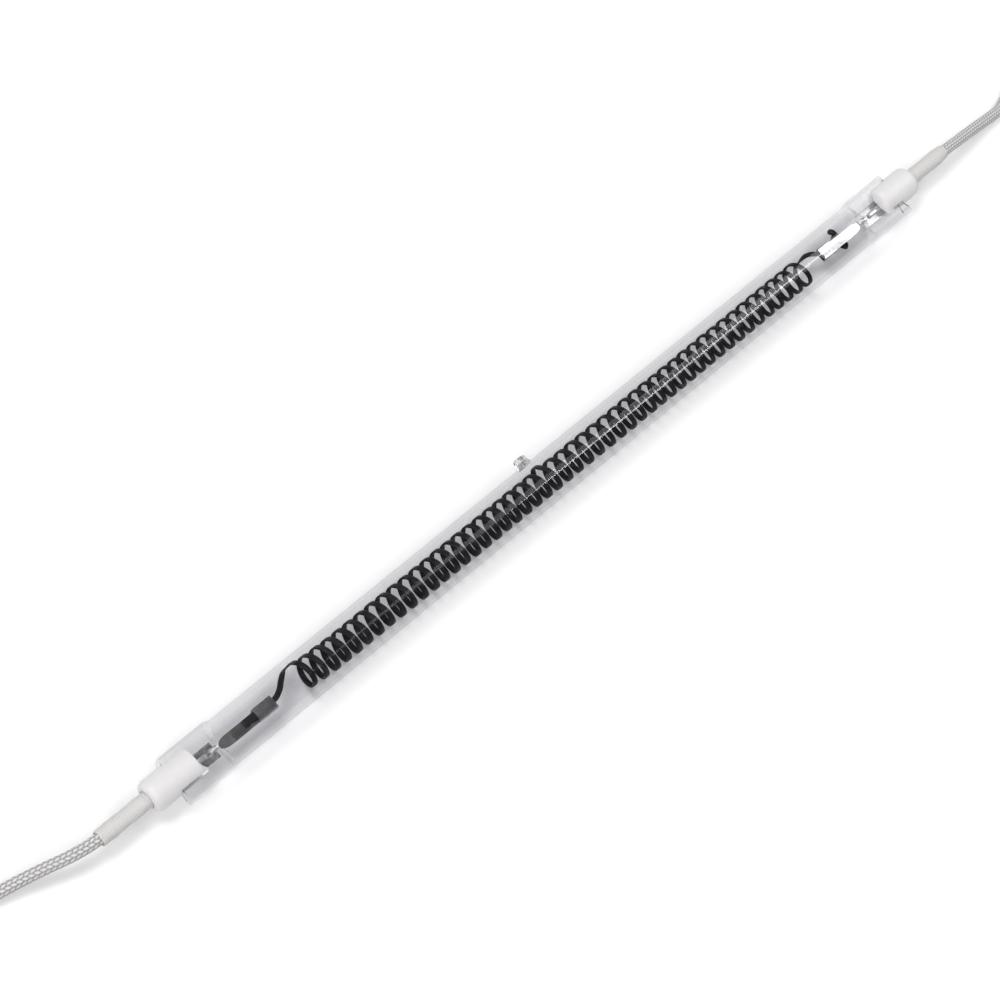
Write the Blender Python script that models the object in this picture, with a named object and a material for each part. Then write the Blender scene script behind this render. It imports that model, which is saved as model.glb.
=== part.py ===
"""Quartz infrared heating lamp: a clear tube with pinched ends round a flat-ribbon carbon spiral.

The tube lies along X with its lowest line on z = 0. Metres, +Z up.
"""

import math

import bmesh
import bpy
from mathutils import Vector

# Clearances between pieces that touch
SEAT_GAP = 0.0003
FINE_GAP = 0.0002

# Quartz tube
TUBE_DIAMETER = 0.012
TUBE_WALL = 0.001
GLASS_LENGTH = 0.2485

# Pinch seal: a flat web between two thicker edges
PINCH_LENGTH = 0.0133
WEB_WALL = 0.0005
EDGE_WIDTH = 0.00105
EDGE_RISE = 0.00075
EDGE_FILLET = 0.0003
WEB_FILLET = 0.0003
PINCH_END_CHAMFER = 0.0004
SHOULDER_LENGTH = 0.0022

# Sealed exhaust tip on the rear side of the tube
TIP_OFFSET = -0.0070
TIP_RADIUS = 0.00175
TIP_HEIGHT = 0.0022
TIP_TAIL = 0.0026

# Molybdenum foil and the rods welded to it
FOIL_WIDTH = 0.0043
FOIL_THICKNESS = 0.00012
FOIL_INSET = 0.0011
FOIL_OUTSET = 0.0023
FOIL_BRIDGE = 0.0010
ROD_DIAMETER = 0.0010
OUTER_ROD_ON_FOIL = 0.0075
ROD_ON_STRIP = 0.0022
ROD_COIL_TURNS = 4
ROD_COIL_WIRE = 0.0003

# Contact strip that joins the rod to the ribbon
STRIP_LENGTHS = {"left": 0.0166, "right": 0.0146}
STRIP_INSETS = {"left": 0.0002, "right": 0.0004}
STRIP_WIDTH = 0.0029
STRIP_THICKNESS = 0.0003
STRIP_TAPER = 0.0030
STRIP_TIP_WIDTH = 0.0018

# Clamp folded round the strip and the ribbon
CLAMP_LENGTHS = {"left": 0.0056, "right": 0.0042}
CLAMP_SHEET = 0.00025
DIMPLE_RADIUS = 0.0009

# Flat-ribbon carbon spiral. Its first turn rides up on the rear side, and the last one is drawn in to its tail.
RIBBON_WIDTH = 0.0014
RIBBON_THICKNESS = 0.00042
SPIRAL_PITCH = 0.00357
SPIRAL_DRIFT = 0.02
SPIRAL_SIDES = 13
SPIRAL_CLEARANCE = 0.00128
SPIRAL_SAG = 0.0004
SPIRAL_SHIFTS = {"left": 0.0008, "right": -0.00035}
SPIRAL_DRAWN_IN = 0.28
TAIL_LENGTHS = {"left": 0.0087, "right": 0.00665}
TAIL_OFFSETS = {"left": 0.0, "right": 0.0008}
TAIL_PAST_CLAMP = 0.0036
FRAY_WIDTH = 0.0040

# Ceramic cap on each pinch, between its edges
CAP_WALL = 0.0018
CAP_PLAY = 0.0016
CAP_FILLET_LENGTH = 0.0018
CAP_FACE_WIDTH = 0.0005
CAP_OVERHANG = 0.00715
CAP_OVERLAPS = {"left": 0.0062, "right": 0.0039}
CAP_SIDES = 32
CEMENT_LENGTH = 0.0024

# Crimp, sleeve and lead
ROD_JOG = 0.0020
CRIMP_DIAMETER = 0.0022
CRIMP_LENGTH = 0.0034
CRIMP_PRESS = 0.00015
SLEEVE_EASE = 0.00025
SLEEVE_WALL = 0.00035
SLEEVE_SHOWS = 0.0140
SLEEVE_TAPER = 0.0008
LEAD_DIAMETER = 0.0030

# Spare lead, folded into a hank of two loops that lie on each other, with a tie round it
FOLD_DIAMETER = 0.015
FOLD_STEPS = 14
HANK_RUN = 0.038
HANK_LOOPS = 2
TIE_PLACE = 0.021
TIE_WIDTH = 0.004
TIE_THICKNESS = 0.0006
TIP_WIRE_DIAMETER = 0.0014
TIP_WIRE_SHARE = 0.9

# Route of each lead past its sleeve, chosen by hand: distance along X, y, and how far it is off the floor
LEAD_ROUTES = {
    "left": [
        (0.0069, 0.00175, 0.0041),
        (0.0139, 0.00375, 0.0030),
        (0.0209, 0.0056, 0.0015),
        (0.0300, 0.0073, 0.0003),
        (0.0369, 0.0075, 0.0),
    ],
    "right": [
        (0.0069, 0.0007, 0.0037),
        (0.0139, 0.00075, 0.0023),
        (0.0209, 0.00065, 0.0009),
        (0.0265, 0.0009, 0.0002),
        (0.0359, 0.0042, 0.0),
    ],
}

SIDES = {"left": -1, "right": 1}

# Worked out from the sizes above
TUBE_RADIUS = TUBE_DIAMETER / 2
BORE_RADIUS = TUBE_RADIUS - TUBE_WALL
AXIS_HEIGHT = TUBE_RADIUS
GLASS_END = GLASS_LENGTH / 2
PINCH_START = GLASS_END - PINCH_LENGTH
ROD_RADIUS = ROD_DIAMETER / 2
ROD_COIL_BORE = ROD_RADIUS + FINE_GAP / 2
ROD_COIL_RADIUS = ROD_COIL_BORE + ROD_COIL_WIRE
POCKET_HEIGHT = ROD_COIL_RADIUS + FINE_GAP
WEB_THICKNESS = 2 * (POCKET_HEIGHT + WEB_WALL)
FOIL_DROP = FINE_GAP + FOIL_THICKNESS / 2
FOIL_START = PINCH_START + FOIL_INSET
FOIL_END = GLASS_END - FOIL_OUTSET
OUTER_ROD_START = FOIL_END - OUTER_ROD_ON_FOIL
INNER_ROD_END = OUTER_ROD_START - FOIL_BRIDGE
STRIP_LIFT = FINE_GAP + STRIP_THICKNESS / 2
STRIP_ENDS = {side: PINCH_START - inset for side, inset in STRIP_INSETS.items()}
CLAMP_STARTS = {side: STRIP_ENDS[side] - length for side, length in STRIP_LENGTHS.items()}
CLAMP_ENDS = {side: CLAMP_STARTS[side] + length for side, length in CLAMP_LENGTHS.items()}
RIBBON_STEP = STRIP_THICKNESS / 2 + FINE_GAP + RIBBON_THICKNESS / 2
SPIRAL_RADIUS = BORE_RADIUS - SPIRAL_CLEARANCE - RIBBON_THICKNESS / 2
SPIRAL_ENDS = {side: CLAMP_STARTS[side] - tail for side, tail in TAIL_LENGTHS.items()}
SPIRAL_LENGTH = SPIRAL_ENDS["left"] + SPIRAL_ENDS["right"]
SPIRAL_TURNS = round(SPIRAL_LENGTH / SPIRAL_PITCH)
CAP_SHIFT = CAP_PLAY / 2
CAP_END = GLASS_END + CAP_OVERHANG
SLEEVE_BORE_RADIUS = LEAD_DIAMETER / 2 + SLEEVE_EASE
SLEEVE_RADIUS = SLEEVE_BORE_RADIUS + SLEEVE_WALL
CAP_BORE_RADIUS = SLEEVE_RADIUS + FINE_GAP
CAP_RADIUS = CAP_BORE_RADIUS + CAP_WALL
CAP_FILLET_RISE = CAP_WALL - CAP_FACE_WIDTH
PINCH_WIDTH = 2 * (CAP_RADIUS + SEAT_GAP + EDGE_WIDTH) + CAP_PLAY
CEMENT_START = GLASS_END + SEAT_GAP
CEMENT_END = CEMENT_START + CEMENT_LENGTH
CRIMP_RADIUS = CRIMP_DIAMETER / 2
CRIMP_START = GLASS_END + ROD_JOG
CRIMP_END = CRIMP_START + CRIMP_LENGTH
SLEEVE_START = CEMENT_END + SEAT_GAP
SLEEVE_END = CAP_END + SLEEVE_SHOWS
LEAD_START = CRIMP_END + SEAT_GAP
LEAD_RADIUS = LEAD_DIAMETER / 2
FOLD_RADIUS = FOLD_DIAMETER / 2
HANK_HEIGHT = HANK_LOOPS * LEAD_DIAMETER
HANK_HALF_WIDTH = FOLD_RADIUS + LEAD_RADIUS
HANK_CORNER = 0.3 * LEAD_DIAMETER
TIE_SINK = TIE_THICKNESS + SEAT_GAP
TIP_WIRE_ROOM = FOLD_RADIUS - LEAD_RADIUS - SEAT_GAP - TIP_WIRE_DIAMETER / 2
TIP_WIRE_LENGTH = 2 * TIP_WIRE_SHARE * TIP_WIRE_ROOM


def clear_scene():
    for obj in list(bpy.data.objects):
        bpy.data.objects.remove(obj, do_unlink=True)


def make_material(name, colour, roughness, metallic=0.0, transmission=0.0):
    material = bpy.data.materials.new(name)
    material.use_nodes = True
    shader = material.node_tree.nodes["Principled BSDF"]
    shader.inputs["Base Color"].default_value = (*colour, 1.0)
    shader.inputs["Roughness"].default_value = roughness
    shader.inputs["Metallic"].default_value = metallic
    shader.inputs["Transmission Weight"].default_value = transmission
    material.diffuse_color = (*colour, 1.0)
    return material


def make_materials():
    return {
        "quartz": make_material("quartz", (0.93, 0.93, 0.96), 0.03, transmission=1.0),
        "carbon": make_material("carbon", (0.035, 0.033, 0.036), 0.55),
        "foil": make_material("foil", (0.45, 0.44, 0.47), 0.35, metallic=1.0),
        "nickel": make_material("nickel", (0.62, 0.60, 0.58), 0.28, metallic=1.0),
        "tinned": make_material("tinned", (0.72, 0.72, 0.70), 0.35, metallic=1.0),
        "ceramic": make_material("ceramic", (0.88, 0.87, 0.86), 0.45),
        "cement": make_material("cement", (0.86, 0.84, 0.80), 0.85),
        "sleeve": make_material("sleeve", (0.80, 0.78, 0.74), 0.80),
        "braid": make_material("braid", (0.72, 0.71, 0.72), 0.75),
        "tie": make_material("tie", (0.82, 0.81, 0.78), 0.60),
    }


def link_mesh(name, bm):
    """An object from the bmesh, with every face turned outwards."""
    bmesh.ops.recalc_face_normals(bm, faces=bm.faces)
    if bm.calc_volume(signed=True) < 0:
        bmesh.ops.reverse_faces(bm, faces=bm.faces)
    mesh = bpy.data.meshes.new(name)
    bm.to_mesh(mesh)
    bm.free()
    obj = bpy.data.objects.new(name, mesh)
    bpy.context.collection.objects.link(obj)
    return obj


def finish_object(name, bm, material, smooth_angle=35):
    obj = link_mesh(name, bm)
    obj.data.materials.append(material)
    obj.data.shade_smooth()
    obj.data.set_sharp_from_angle(angle=math.radians(smooth_angle))
    return obj


def link_form(name, bm):
    """A helper solid for a Boolean, left out of the part."""
    form = link_mesh(name, bm)
    form.hide_render = True
    form.display_type = "WIRE"
    return form


def loft(rings, path_closed=False):
    """A bmesh of quads between rings of equally many points, with flat ends unless the path is closed."""
    bm = bmesh.new()
    rows = [[bm.verts.new(point) for point in ring] for ring in rings]
    pairs = list(zip(rows, rows[1:]))
    if path_closed:
        pairs.append((rows[-1], rows[0]))
    for row, following in pairs:
        for i in range(len(row)):
            bm.faces.new((row[i - 1], row[i], following[i], following[i - 1]))
    if not path_closed:
        bm.faces.new(rows[0][::-1])
        bm.faces.new(rows[-1])
    return bm


def circle(sides):
    """Cosine and sine at equal steps round a circle."""
    angles = [2 * math.pi * i / sides for i in range(sides)]
    return [(math.cos(a), math.sin(a)) for a in angles]


def turned(profile, sides, centre_y=0.0):
    """A closed profile of (x, radius) points, turned about a line along X at the axis height."""
    return loft([
        [(x, centre_y + r * across, AXIS_HEIGHT + r * up) for x, r in profile]
        for across, up in circle(sides)
    ], path_closed=True)


def box_bmesh(low, high):
    corners = [(low[0], low[1]), (high[0], low[1]), (high[0], high[1]), (low[0], high[1])]
    return loft([[(x, y, z) for x, y in corners] for z in (low[2], high[2])])


def mirrored_span(side, start, end):
    """The low and high x of a span given by its distances from the middle."""
    ends = sorted((SIDES[side] * start, SIDES[side] * end))
    return ends[0], ends[1]


def smooth_step(t):
    t = min(max(t, 0.0), 1.0)
    return t * t * (3 - 2 * t)


def whole_section(quarter):
    """A closed section from its quarter between +Y and +Z, mirrored twice."""
    half = quarter + [(-y, z) for y, z in quarter[-2::-1]]
    return half + [(y, -z) for y, z in half[-2:0:-1]]


def oval_section(half_width, half_height, sides):
    return [(half_width * across, half_height * up) for across, up in circle(sides)]


def pinch_section():
    """The H-shaped outer section of the seal: web, fillet and thick edge, nine steps a quarter."""
    edge, web = PINCH_WIDTH / 2, WEB_THICKNESS / 2
    inner, top = edge - EDGE_WIDTH, web + EDGE_RISE
    edge_fillet = min(EDGE_FILLET, EDGE_RISE / 2, EDGE_WIDTH / 2)
    web_fillet = min(WEB_FILLET, EDGE_RISE / 2)
    corner = edge_fillet * (1 - math.sqrt(0.5))
    return whole_section([
        (edge, 0.0),
        (edge, top - edge_fillet),
        (edge - corner, top - corner),
        (edge - edge_fillet, top),
        (inner + edge_fillet, top),
        (inner, top - edge_fillet),
        (inner, web + web_fillet),
        (inner - web_fillet, web),
        ((inner - web_fillet) / 2, web),
        (0.0, web),
    ])


def channel_section():
    """The channel in the seal: a flat slot for the foil with a round bore for the rods."""
    slot = FOIL_WIDTH / 2 + FINE_GAP
    height = FOIL_DROP + FOIL_THICKNESS / 2 + FINE_GAP
    bore = ROD_RADIUS + FINE_GAP
    first = math.asin(min(height / bore, 0.98))
    arc = [first + (math.pi / 2 - first) * i / 6 for i in range(7)]
    meet = bore * math.cos(first)
    quarter = [(slot, 0.0), (slot, height), ((slot + meet) / 2, height)]
    return whole_section(quarter + [(bore * math.cos(a), bore * math.sin(a)) for a in arc])


def blended(section, other, share):
    return [
        (a[0] + (b[0] - a[0]) * share, a[1] + (b[1] - a[1]) * share)
        for a, b in zip(section, other)
    ]


def skin_rings(stations):
    return [[(x, y, z + AXIS_HEIGHT) for y, z in section] for x, section in stations]


def outer_stations():
    """Half of the outer skin from the middle of the tube to its end."""
    pinch = pinch_section()
    tube = oval_section(TUBE_RADIUS, TUBE_RADIUS, len(pinch))
    steps = 8
    stations = []
    for i in range(steps + 1):
        x = PINCH_START - SHOULDER_LENGTH * (1 - i / steps)
        stations.append((x, blended(tube, pinch, smooth_step(i / steps))))
    small = 1 - PINCH_END_CHAMFER / PINCH_WIDTH
    tucked = [(y * small, z * small) for y, z in pinch]
    stations.append((GLASS_END - PINCH_END_CHAMFER, pinch))
    stations.append((GLASS_END, tucked))
    return stations


def inner_stations():
    """Half of the bore from the middle of the tube to its end.

    It narrows to a pocket round the rod's winding, then steps to the channel of the foil and rods.
    """
    channel = channel_section()
    bore = oval_section(BORE_RADIUS, BORE_RADIUS, len(channel))
    pocket = oval_section(FOIL_WIDTH / 2 + FINE_GAP, POCKET_HEIGHT, len(channel))
    steps = 6
    start = PINCH_START - SHOULDER_LENGTH - TUBE_WALL / 2
    stations = []
    for i in range(steps + 1):
        x = start + (SHOULDER_LENGTH - TUBE_WALL / 2) * i / steps
        stations.append((x, blended(bore, pocket, smooth_step(i / steps))))
    stations.append((FOIL_START - 2 * FINE_GAP, pocket))
    stations.append((FOIL_START - FINE_GAP, channel))
    stations.append((GLASS_END, channel))
    return stations


def both_ends(stations):
    return [(-x, section) for x, section in reversed(stations)] + stations


def make_exhaust_tip():
    """The melted-off exhaust stub: a rounded lump whose pulled tail lies along the tube.

    Its foot follows the middle of the tube's wall, and each ring above it is smaller.
    """
    rings_up, sides = 6, 20
    middle = TUBE_RADIUS - TUBE_WALL / 2
    top = TUBE_RADIUS + TIP_HEIGHT
    tip_share = 0.14
    heart = [
        (TIP_OFFSET + TIP_RADIUS * tip_share * across, middle, AXIS_HEIGHT + TIP_RADIUS * tip_share * up)
        for across, up in circle(sides)
    ]
    rings = [heart]
    for k in range(rings_up + 1):
        rise = k / rings_up
        reach = TIP_RADIUS * max(math.sqrt(1 - rise**3), tip_share)
        tail = TIP_TAIL * (1 - rise) ** 3
        ring = []
        for across, up in circle(sides):
            forward = max(across, 0.0) ** 9
            drop = reach * up * (1 - 0.3 * forward)
            foot = math.sqrt(middle**2 - drop**2)
            x = TIP_OFFSET + reach * across + tail * forward
            ring.append((x, foot + (top - foot) * rise, AXIS_HEIGHT + drop))
        rings.append(ring)
    return link_form("exhaust_tip_form", loft(rings))


def make_quartz_tube(materials):
    outer = skin_rings(both_ends(outer_stations()))
    inner = skin_rings(both_ends(inner_stations()))
    bm = loft(outer + inner[::-1], path_closed=True)
    tube = finish_object("quartz_tube", bm, materials["quartz"])
    union = tube.modifiers.new("exhaust_tip", "BOOLEAN")
    union.operation = "UNION"
    union.object = make_exhaust_tip()
    return tube


def make_foil(side, materials):
    low, high = mirrored_span(side, FOIL_START, FOIL_END)
    centre = AXIS_HEIGHT - FOIL_DROP
    half, thick = FOIL_WIDTH / 2, FOIL_THICKNESS / 2
    bm = box_bmesh((low, -half, centre - thick), (high, half, centre + thick))
    return finish_object(f"{side}_foil", bm, materials["foil"])


def rod_rings(side, stations):
    """Rings of a rod along X. Each station is (x, y, lowest share, highest share of the radius)."""
    sides = 14
    rings = []
    for x, centre_y, low, high in stations:
        ring = []
        for i in range(sides):
            angle = 2 * math.pi * (i + 0.5) / sides
            y, z = math.cos(angle), min(max(math.sin(angle), low), high)
            ring.append((SIDES[side] * x, centre_y + ROD_RADIUS * y, AXIS_HEIGHT + ROD_RADIUS * z))
        rings.append(ring)
    return rings


def make_inner_rod(side, materials):
    """Half-round below the contact strip, round in the middle and half-round above the foil."""
    step = FINE_GAP / 2
    flat = 0.02
    end = STRIP_ENDS[side]
    rings = rod_rings(side, [
        (end - ROD_ON_STRIP, 0.0, -1, -flat),
        (end + step, 0.0, -1, -flat),
        (end + 2 * step, 0.0, -1, 1),
        (FOIL_START - 2 * step, 0.0, -1, 1),
        (FOIL_START - step, 0.0, flat, 1),
        (INNER_ROD_END, 0.0, flat, 1),
    ])
    return finish_object(f"{side}_inner_rod", loft(rings), materials["nickel"])


def make_outer_rod(side, materials):
    """Half-round above the foil, then round, with a jog to the cap's centre line."""
    step = FINE_GAP / 2
    flat = 0.02
    rings = rod_rings(side, [
        (OUTER_ROD_START, 0.0, flat, 1),
        (FOIL_END + step, 0.0, flat, 1),
        (FOIL_END + 2 * step, 0.0, -1, 1),
        (GLASS_END, 0.0, -1, 1),
        (CRIMP_START, CAP_SHIFT, -1, 1),
        (CRIMP_START + CRIMP_LENGTH / 2, CAP_SHIFT, -1, 1),
    ])
    return finish_object(f"{side}_outer_rod", loft(rings), materials["nickel"])


def make_rod_coil(side, materials):
    """Fine wire wound close round the rod, between the contact strip and the foil."""
    low, high = mirrored_span(side, STRIP_ENDS[side] + FINE_GAP, FOIL_START - FINE_GAP)
    pitch = (high - low) / ROD_COIL_TURNS
    valley = 0.35
    bumps = ((0.0, valley), (0.25, 0.9), (0.5, 1.0), (0.75, 0.9))
    outline = []
    for i in range(ROD_COIL_TURNS):
        for share, rise in bumps:
            outline.append((low + pitch * (i + share), ROD_COIL_BORE + ROD_COIL_WIRE * rise))
    outline.append((high, ROD_COIL_BORE + ROD_COIL_WIRE * valley))
    profile = [(low, ROD_COIL_BORE)] + outline + [(high, ROD_COIL_BORE)]
    return finish_object(f"{side}_rod_coil", turned(profile, 12), materials["nickel"])


def make_contact_strip(side, materials):
    """A flat strip whose end at the seal tapers to a rounded tip."""
    half, tip = STRIP_WIDTH / 2, STRIP_TIP_WIDTH / 2
    steps = 6
    outline = [(CLAMP_STARTS[side], half)]
    for i in range(steps + 1):
        t = i / steps
        x = STRIP_ENDS[side] - STRIP_TAPER * (1 - t)
        outline.append((x, half - (half - tip) * (1 - math.sqrt(1 - t * t))))
    closed = outline + [(x, -y) for x, y in reversed(outline)]
    low = AXIS_HEIGHT + STRIP_LIFT - STRIP_THICKNESS / 2
    rings = [
        [(SIDES[side] * x, y, low + rise) for x, y in closed]
        for rise in (0.0, STRIP_THICKNESS)
    ]
    return finish_object(f"{side}_contact_strip", loft(rings), materials["nickel"])


def clamp_levels(side):
    """The lowest and highest z that the clamp encloses: the strip, and the ribbon on one side of it."""
    middle = AXIS_HEIGHT + STRIP_LIFT
    reach = STRIP_THICKNESS / 2 + FINE_GAP
    far = RIBBON_STEP + RIBBON_THICKNESS / 2 + FINE_GAP
    if side == "left":
        return middle - reach, middle + far
    return middle - far, middle + reach


def rounded_rectangle(half_y, low_z, high_z, radius):
    """A rectangle with each corner rounded in two steps."""
    middle, half_z = (low_z + high_z) / 2, (high_z - low_z) / 2
    points = []
    for first, sign_y, sign_z in ((0, 1, 1), (90, -1, 1), (180, -1, -1), (270, 1, -1)):
        for turn in (0, 45, 90):
            angle = math.radians(first + turn)
            y = sign_y * (half_y - radius) + radius * math.cos(angle)
            z = middle + sign_z * (half_z - radius) + radius * math.sin(angle)
            points.append((y, z))
    return points


def make_clamp(side, materials):
    """A sheet folded into a flat tube, with a round dimple pressed in over the joint."""
    low, high = clamp_levels(side)
    half = max(STRIP_WIDTH, RIBBON_WIDTH) / 2 + FINE_GAP
    sheet = CLAMP_SHEET
    inside = rounded_rectangle(half, low, high, sheet)
    outside = rounded_rectangle(half + sheet, low - sheet, high + sheet, 2 * sheet)
    start, end = SIDES[side] * CLAMP_STARTS[side], SIDES[side] * CLAMP_ENDS[side]
    sections = ((start, outside), (end, outside), (end, inside), (start, inside))
    rings = [[(x, y, z) for y, z in section] for x, section in sections]
    clamp = finish_object(f"{side}_clamp", loft(rings, path_closed=True), materials["nickel"])
    cut = clamp.modifiers.new("dimple", "BOOLEAN")
    cut.operation = "DIFFERENCE"
    cut.object = make_dimple_form(side, high + sheet)
    return clamp


def make_dimple_form(side, top):
    """A shallow lens that leaves half of the sheet under the dimple."""
    depth = CLAMP_SHEET / 2
    centre = SIDES[side] * (CLAMP_STARTS[side] + CLAMP_ENDS[side]) / 2
    levels = ((top - depth, 0.5), (top - depth / 2, 0.85), (top + depth, 1.1))
    rings = []
    for z, share in levels:
        reach = DIMPLE_RADIUS * share
        rings.append([(centre + reach * across, reach * up, z) for across, up in circle(14)])
    return link_form(f"{side}_dimple_form", loft(rings))


def catmull_rom(points, per_span):
    """A smooth curve through the points, with this many steps in each span."""
    knots = [Vector(p) for p in points]
    knots = [2 * knots[0] - knots[1]] + knots + [2 * knots[-1] - knots[-2]]
    curve = []
    for a, b, c, d in zip(knots, knots[1:], knots[2:], knots[3:]):
        for i in range(per_span):
            t = i / per_span
            curve.append(0.5 * (
                2 * b + (c - a) * t + (2 * a - 5 * b + 4 * c - d) * t**2
                + (3 * b - a - 3 * c + d) * t**3
            ))
    curve.append(knots[-2])
    return curve


def ribbon_level(side):
    """Height of the ribbon's middle in the clamp: above the strip on the left and below it on the right."""
    step = RIBBON_STEP if side == "left" else -RIBBON_STEP
    return AXIS_HEIGHT + STRIP_LIFT + step


def tail_route(side):
    """The ribbon's tail from its cut end, through the clamp and up to the rear of the spiral."""
    sign, start, end = SIDES[side], CLAMP_STARTS[side], CLAMP_ENDS[side]
    level = ribbon_level(side)
    rise = AXIS_HEIGHT - level
    climb = {
        "left": ((0.31, 0.27, 0.3), (0.56, 0.74, 0.7), (0.81, 1.13, 1.0)),
        "right": ((0.17, 0.38, 0.2), (0.37, 0.57, 0.6), (0.65, 0.70, 1.0)),
    }
    route = [
        (sign * (end + TAIL_PAST_CLAMP), 0.0, level),
        (sign * (end + TAIL_PAST_CLAMP / 2), 0.0, level),
        (sign * end, 0.0, level),
        (sign * start, TAIL_OFFSETS[side], level),
    ]
    for along, out, up in climb[side]:
        x = start - TAIL_LENGTHS[side] * along
        route.append((sign * x, SPIRAL_RADIUS * out, level + rise * up))
    return route


def tail_sections(side):
    """The tail turns from lying flat in the clamp to lying flat on the spiral, and frays at its end."""
    curve = catmull_rom(tail_route(side), 3)
    start = CLAMP_STARTS[side]
    end = abs(curve[-1].x)
    found = []
    for point in curve:
        turn = smooth_step((start - abs(point.x)) / (start - end)) * math.pi / 2
        normal = Vector((0.0, math.sin(turn), math.cos(turn)))
        width = RIBBON_WIDTH
        past = abs(point.x) - CLAMP_ENDS[side]
        if side == "right" and past > 0:
            width += (FRAY_WIDTH - RIBBON_WIDTH) * (past / TAIL_PAST_CLAMP) ** 2
        found.append((point, normal, width))
    return found


def ribbon_sections():
    """Centre, outward normal and width of the ribbon along its whole length."""
    turns = []
    steps = SPIRAL_TURNS * SPIRAL_SIDES
    for i in range(steps + 1):
        share = i / steps
        angle = 2 * math.pi * SPIRAL_TURNS * share
        normal = Vector((0.0, math.cos(angle), math.sin(angle)))
        along = share + SPIRAL_DRIFT * share * (share - 1)
        sag = SPIRAL_SAG * 4 * share * (1 - share)
        shift = SPIRAL_SHIFTS["left"] * (1 - share) ** SPIRAL_TURNS + SPIRAL_SHIFTS["right"] * share
        centre = Vector((SPIRAL_LENGTH * along - SPIRAL_ENDS["left"], shift, AXIS_HEIGHT - sag))
        last_turn = smooth_step(1 - 3 * SPIRAL_TURNS * (1 - share))
        radius = SPIRAL_RADIUS * (1 - SPIRAL_DRAWN_IN * last_turn)
        turns.append((centre + normal * radius, normal, RIBBON_WIDTH))
    return tail_sections("left") + turns + tail_sections("right")[::-1]


def make_carbon_spiral(materials):
    sections = ribbon_sections()
    points = [s[0] for s in sections]
    rings = []
    for i, (centre, normal, width) in enumerate(sections):
        before, after = points[max(i - 1, 0)], points[min(i + 1, len(points) - 1)]
        tangent = (after - before).normalized()
        across = tangent.cross(normal).normalized()
        flat = across.cross(tangent).normalized()
        w, t = across * width / 2, flat * RIBBON_THICKNESS / 2
        rings.append([centre + w + t, centre - w + t, centre - w - t, centre + w - t])
    return finish_object("carbon_spiral", loft(rings), materials["carbon"])


def make_cap(side, materials):
    """A ceramic cap: filleted outer end, a bore for the sleeve and a side-to-side slot for the web."""
    inner = GLASS_END - CAP_OVERLAPS[side]
    steps = 5
    profile = [(inner, CAP_BORE_RADIUS), (inner, CAP_RADIUS)]
    for i in range(steps + 1):
        angle = math.pi / 2 * i / steps
        x = CAP_END - CAP_FILLET_LENGTH * (1 - math.sin(angle))
        profile.append((x, CAP_RADIUS - CAP_FILLET_RISE * (1 - math.cos(angle))))
    profile.append((CAP_END, CAP_BORE_RADIUS))
    bm = turned([(SIDES[side] * x, r) for x, r in profile], CAP_SIDES, CAP_SHIFT)
    cap = finish_object(f"{side}_ceramic_cap", bm, materials["ceramic"])
    cut = cap.modifiers.new("slot", "BOOLEAN")
    cut.operation = "DIFFERENCE"
    cut.object = make_slot_form(side, inner)
    return cap


def make_slot_form(side, inner):
    half = WEB_THICKNESS / 2 + SEAT_GAP
    low, high = mirrored_span(side, inner - CAP_RADIUS, GLASS_END + SEAT_GAP)
    reach = 2 * CAP_RADIUS
    bm = box_bmesh((low, -reach, AXIS_HEIGHT - half), (high, reach, AXIS_HEIGHT + half))
    return link_form(f"{side}_slot_form", bm)


def make_cement(side, materials):
    """The cement in the cap's bore, with room for the crimp and the rod's jog."""
    outer = CAP_BORE_RADIUS - SEAT_GAP
    inner = max(CRIMP_RADIUS, ROD_RADIUS + CAP_SHIFT) + SEAT_GAP
    low, high = mirrored_span(side, CEMENT_START, CEMENT_END)
    profile = [(low, inner), (low, outer), (high, outer), (high, inner)]
    return finish_object(f"{side}_cement", turned(profile, 24, CAP_SHIFT), materials["cement"])


def make_crimp(side, materials):
    """A ferrule, bored for the rod and pressed at its waist."""
    bore = ROD_RADIUS + FINE_GAP
    waist = CRIMP_RADIUS - CRIMP_PRESS
    outline = (
        (0.0, bore), (0.0, CRIMP_RADIUS), (0.3, CRIMP_RADIUS), (0.4, waist),
        (0.6, waist), (0.7, CRIMP_RADIUS), (1.0, CRIMP_RADIUS), (1.0, bore),
    )
    profile = [(SIDES[side] * (CRIMP_START + CRIMP_LENGTH * share), r) for share, r in outline]
    return finish_object(f"{side}_crimp", turned(profile, 16, CAP_SHIFT), materials["nickel"])


def make_sleeve(side, materials):
    """A short woven sleeve over the lead, drawn in a little at its open end."""
    profile = [
        (SLEEVE_START, SLEEVE_BORE_RADIUS),
        (SLEEVE_START, SLEEVE_RADIUS),
        (SLEEVE_END - SLEEVE_TAPER, SLEEVE_RADIUS),
        (SLEEVE_END, SLEEVE_RADIUS - SLEEVE_WALL / 3),
        (SLEEVE_END, SLEEVE_BORE_RADIUS),
    ]
    bm = turned([(SIDES[side] * x, r) for x, r in profile], 24, CAP_SHIFT)
    return finish_object(f"{side}_sleeve", bm, materials["sleeve"])


def lead_points(side):
    """The lead's centre line: straight from the crimp through the sleeve, then its route."""
    points = [(SIDES[side] * x, CAP_SHIFT, AXIS_HEIGHT) for x in (LEAD_START, SLEEVE_END)]
    for past, y, rise in LEAD_ROUTES[side]:
        points.append((SIDES[side] * (SLEEVE_END + past), y, LEAD_RADIUS + rise))
    return points


def spaced(curve, step):
    """The curve's first and last points, and those between that lie at least a step apart."""
    kept = [curve[0]]
    for point in curve[1:-1]:
        if (point - kept[-1]).length >= step and (point - curve[-1]).length >= step / 2:
            kept.append(point)
    return kept + [curve[-1]]


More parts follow.
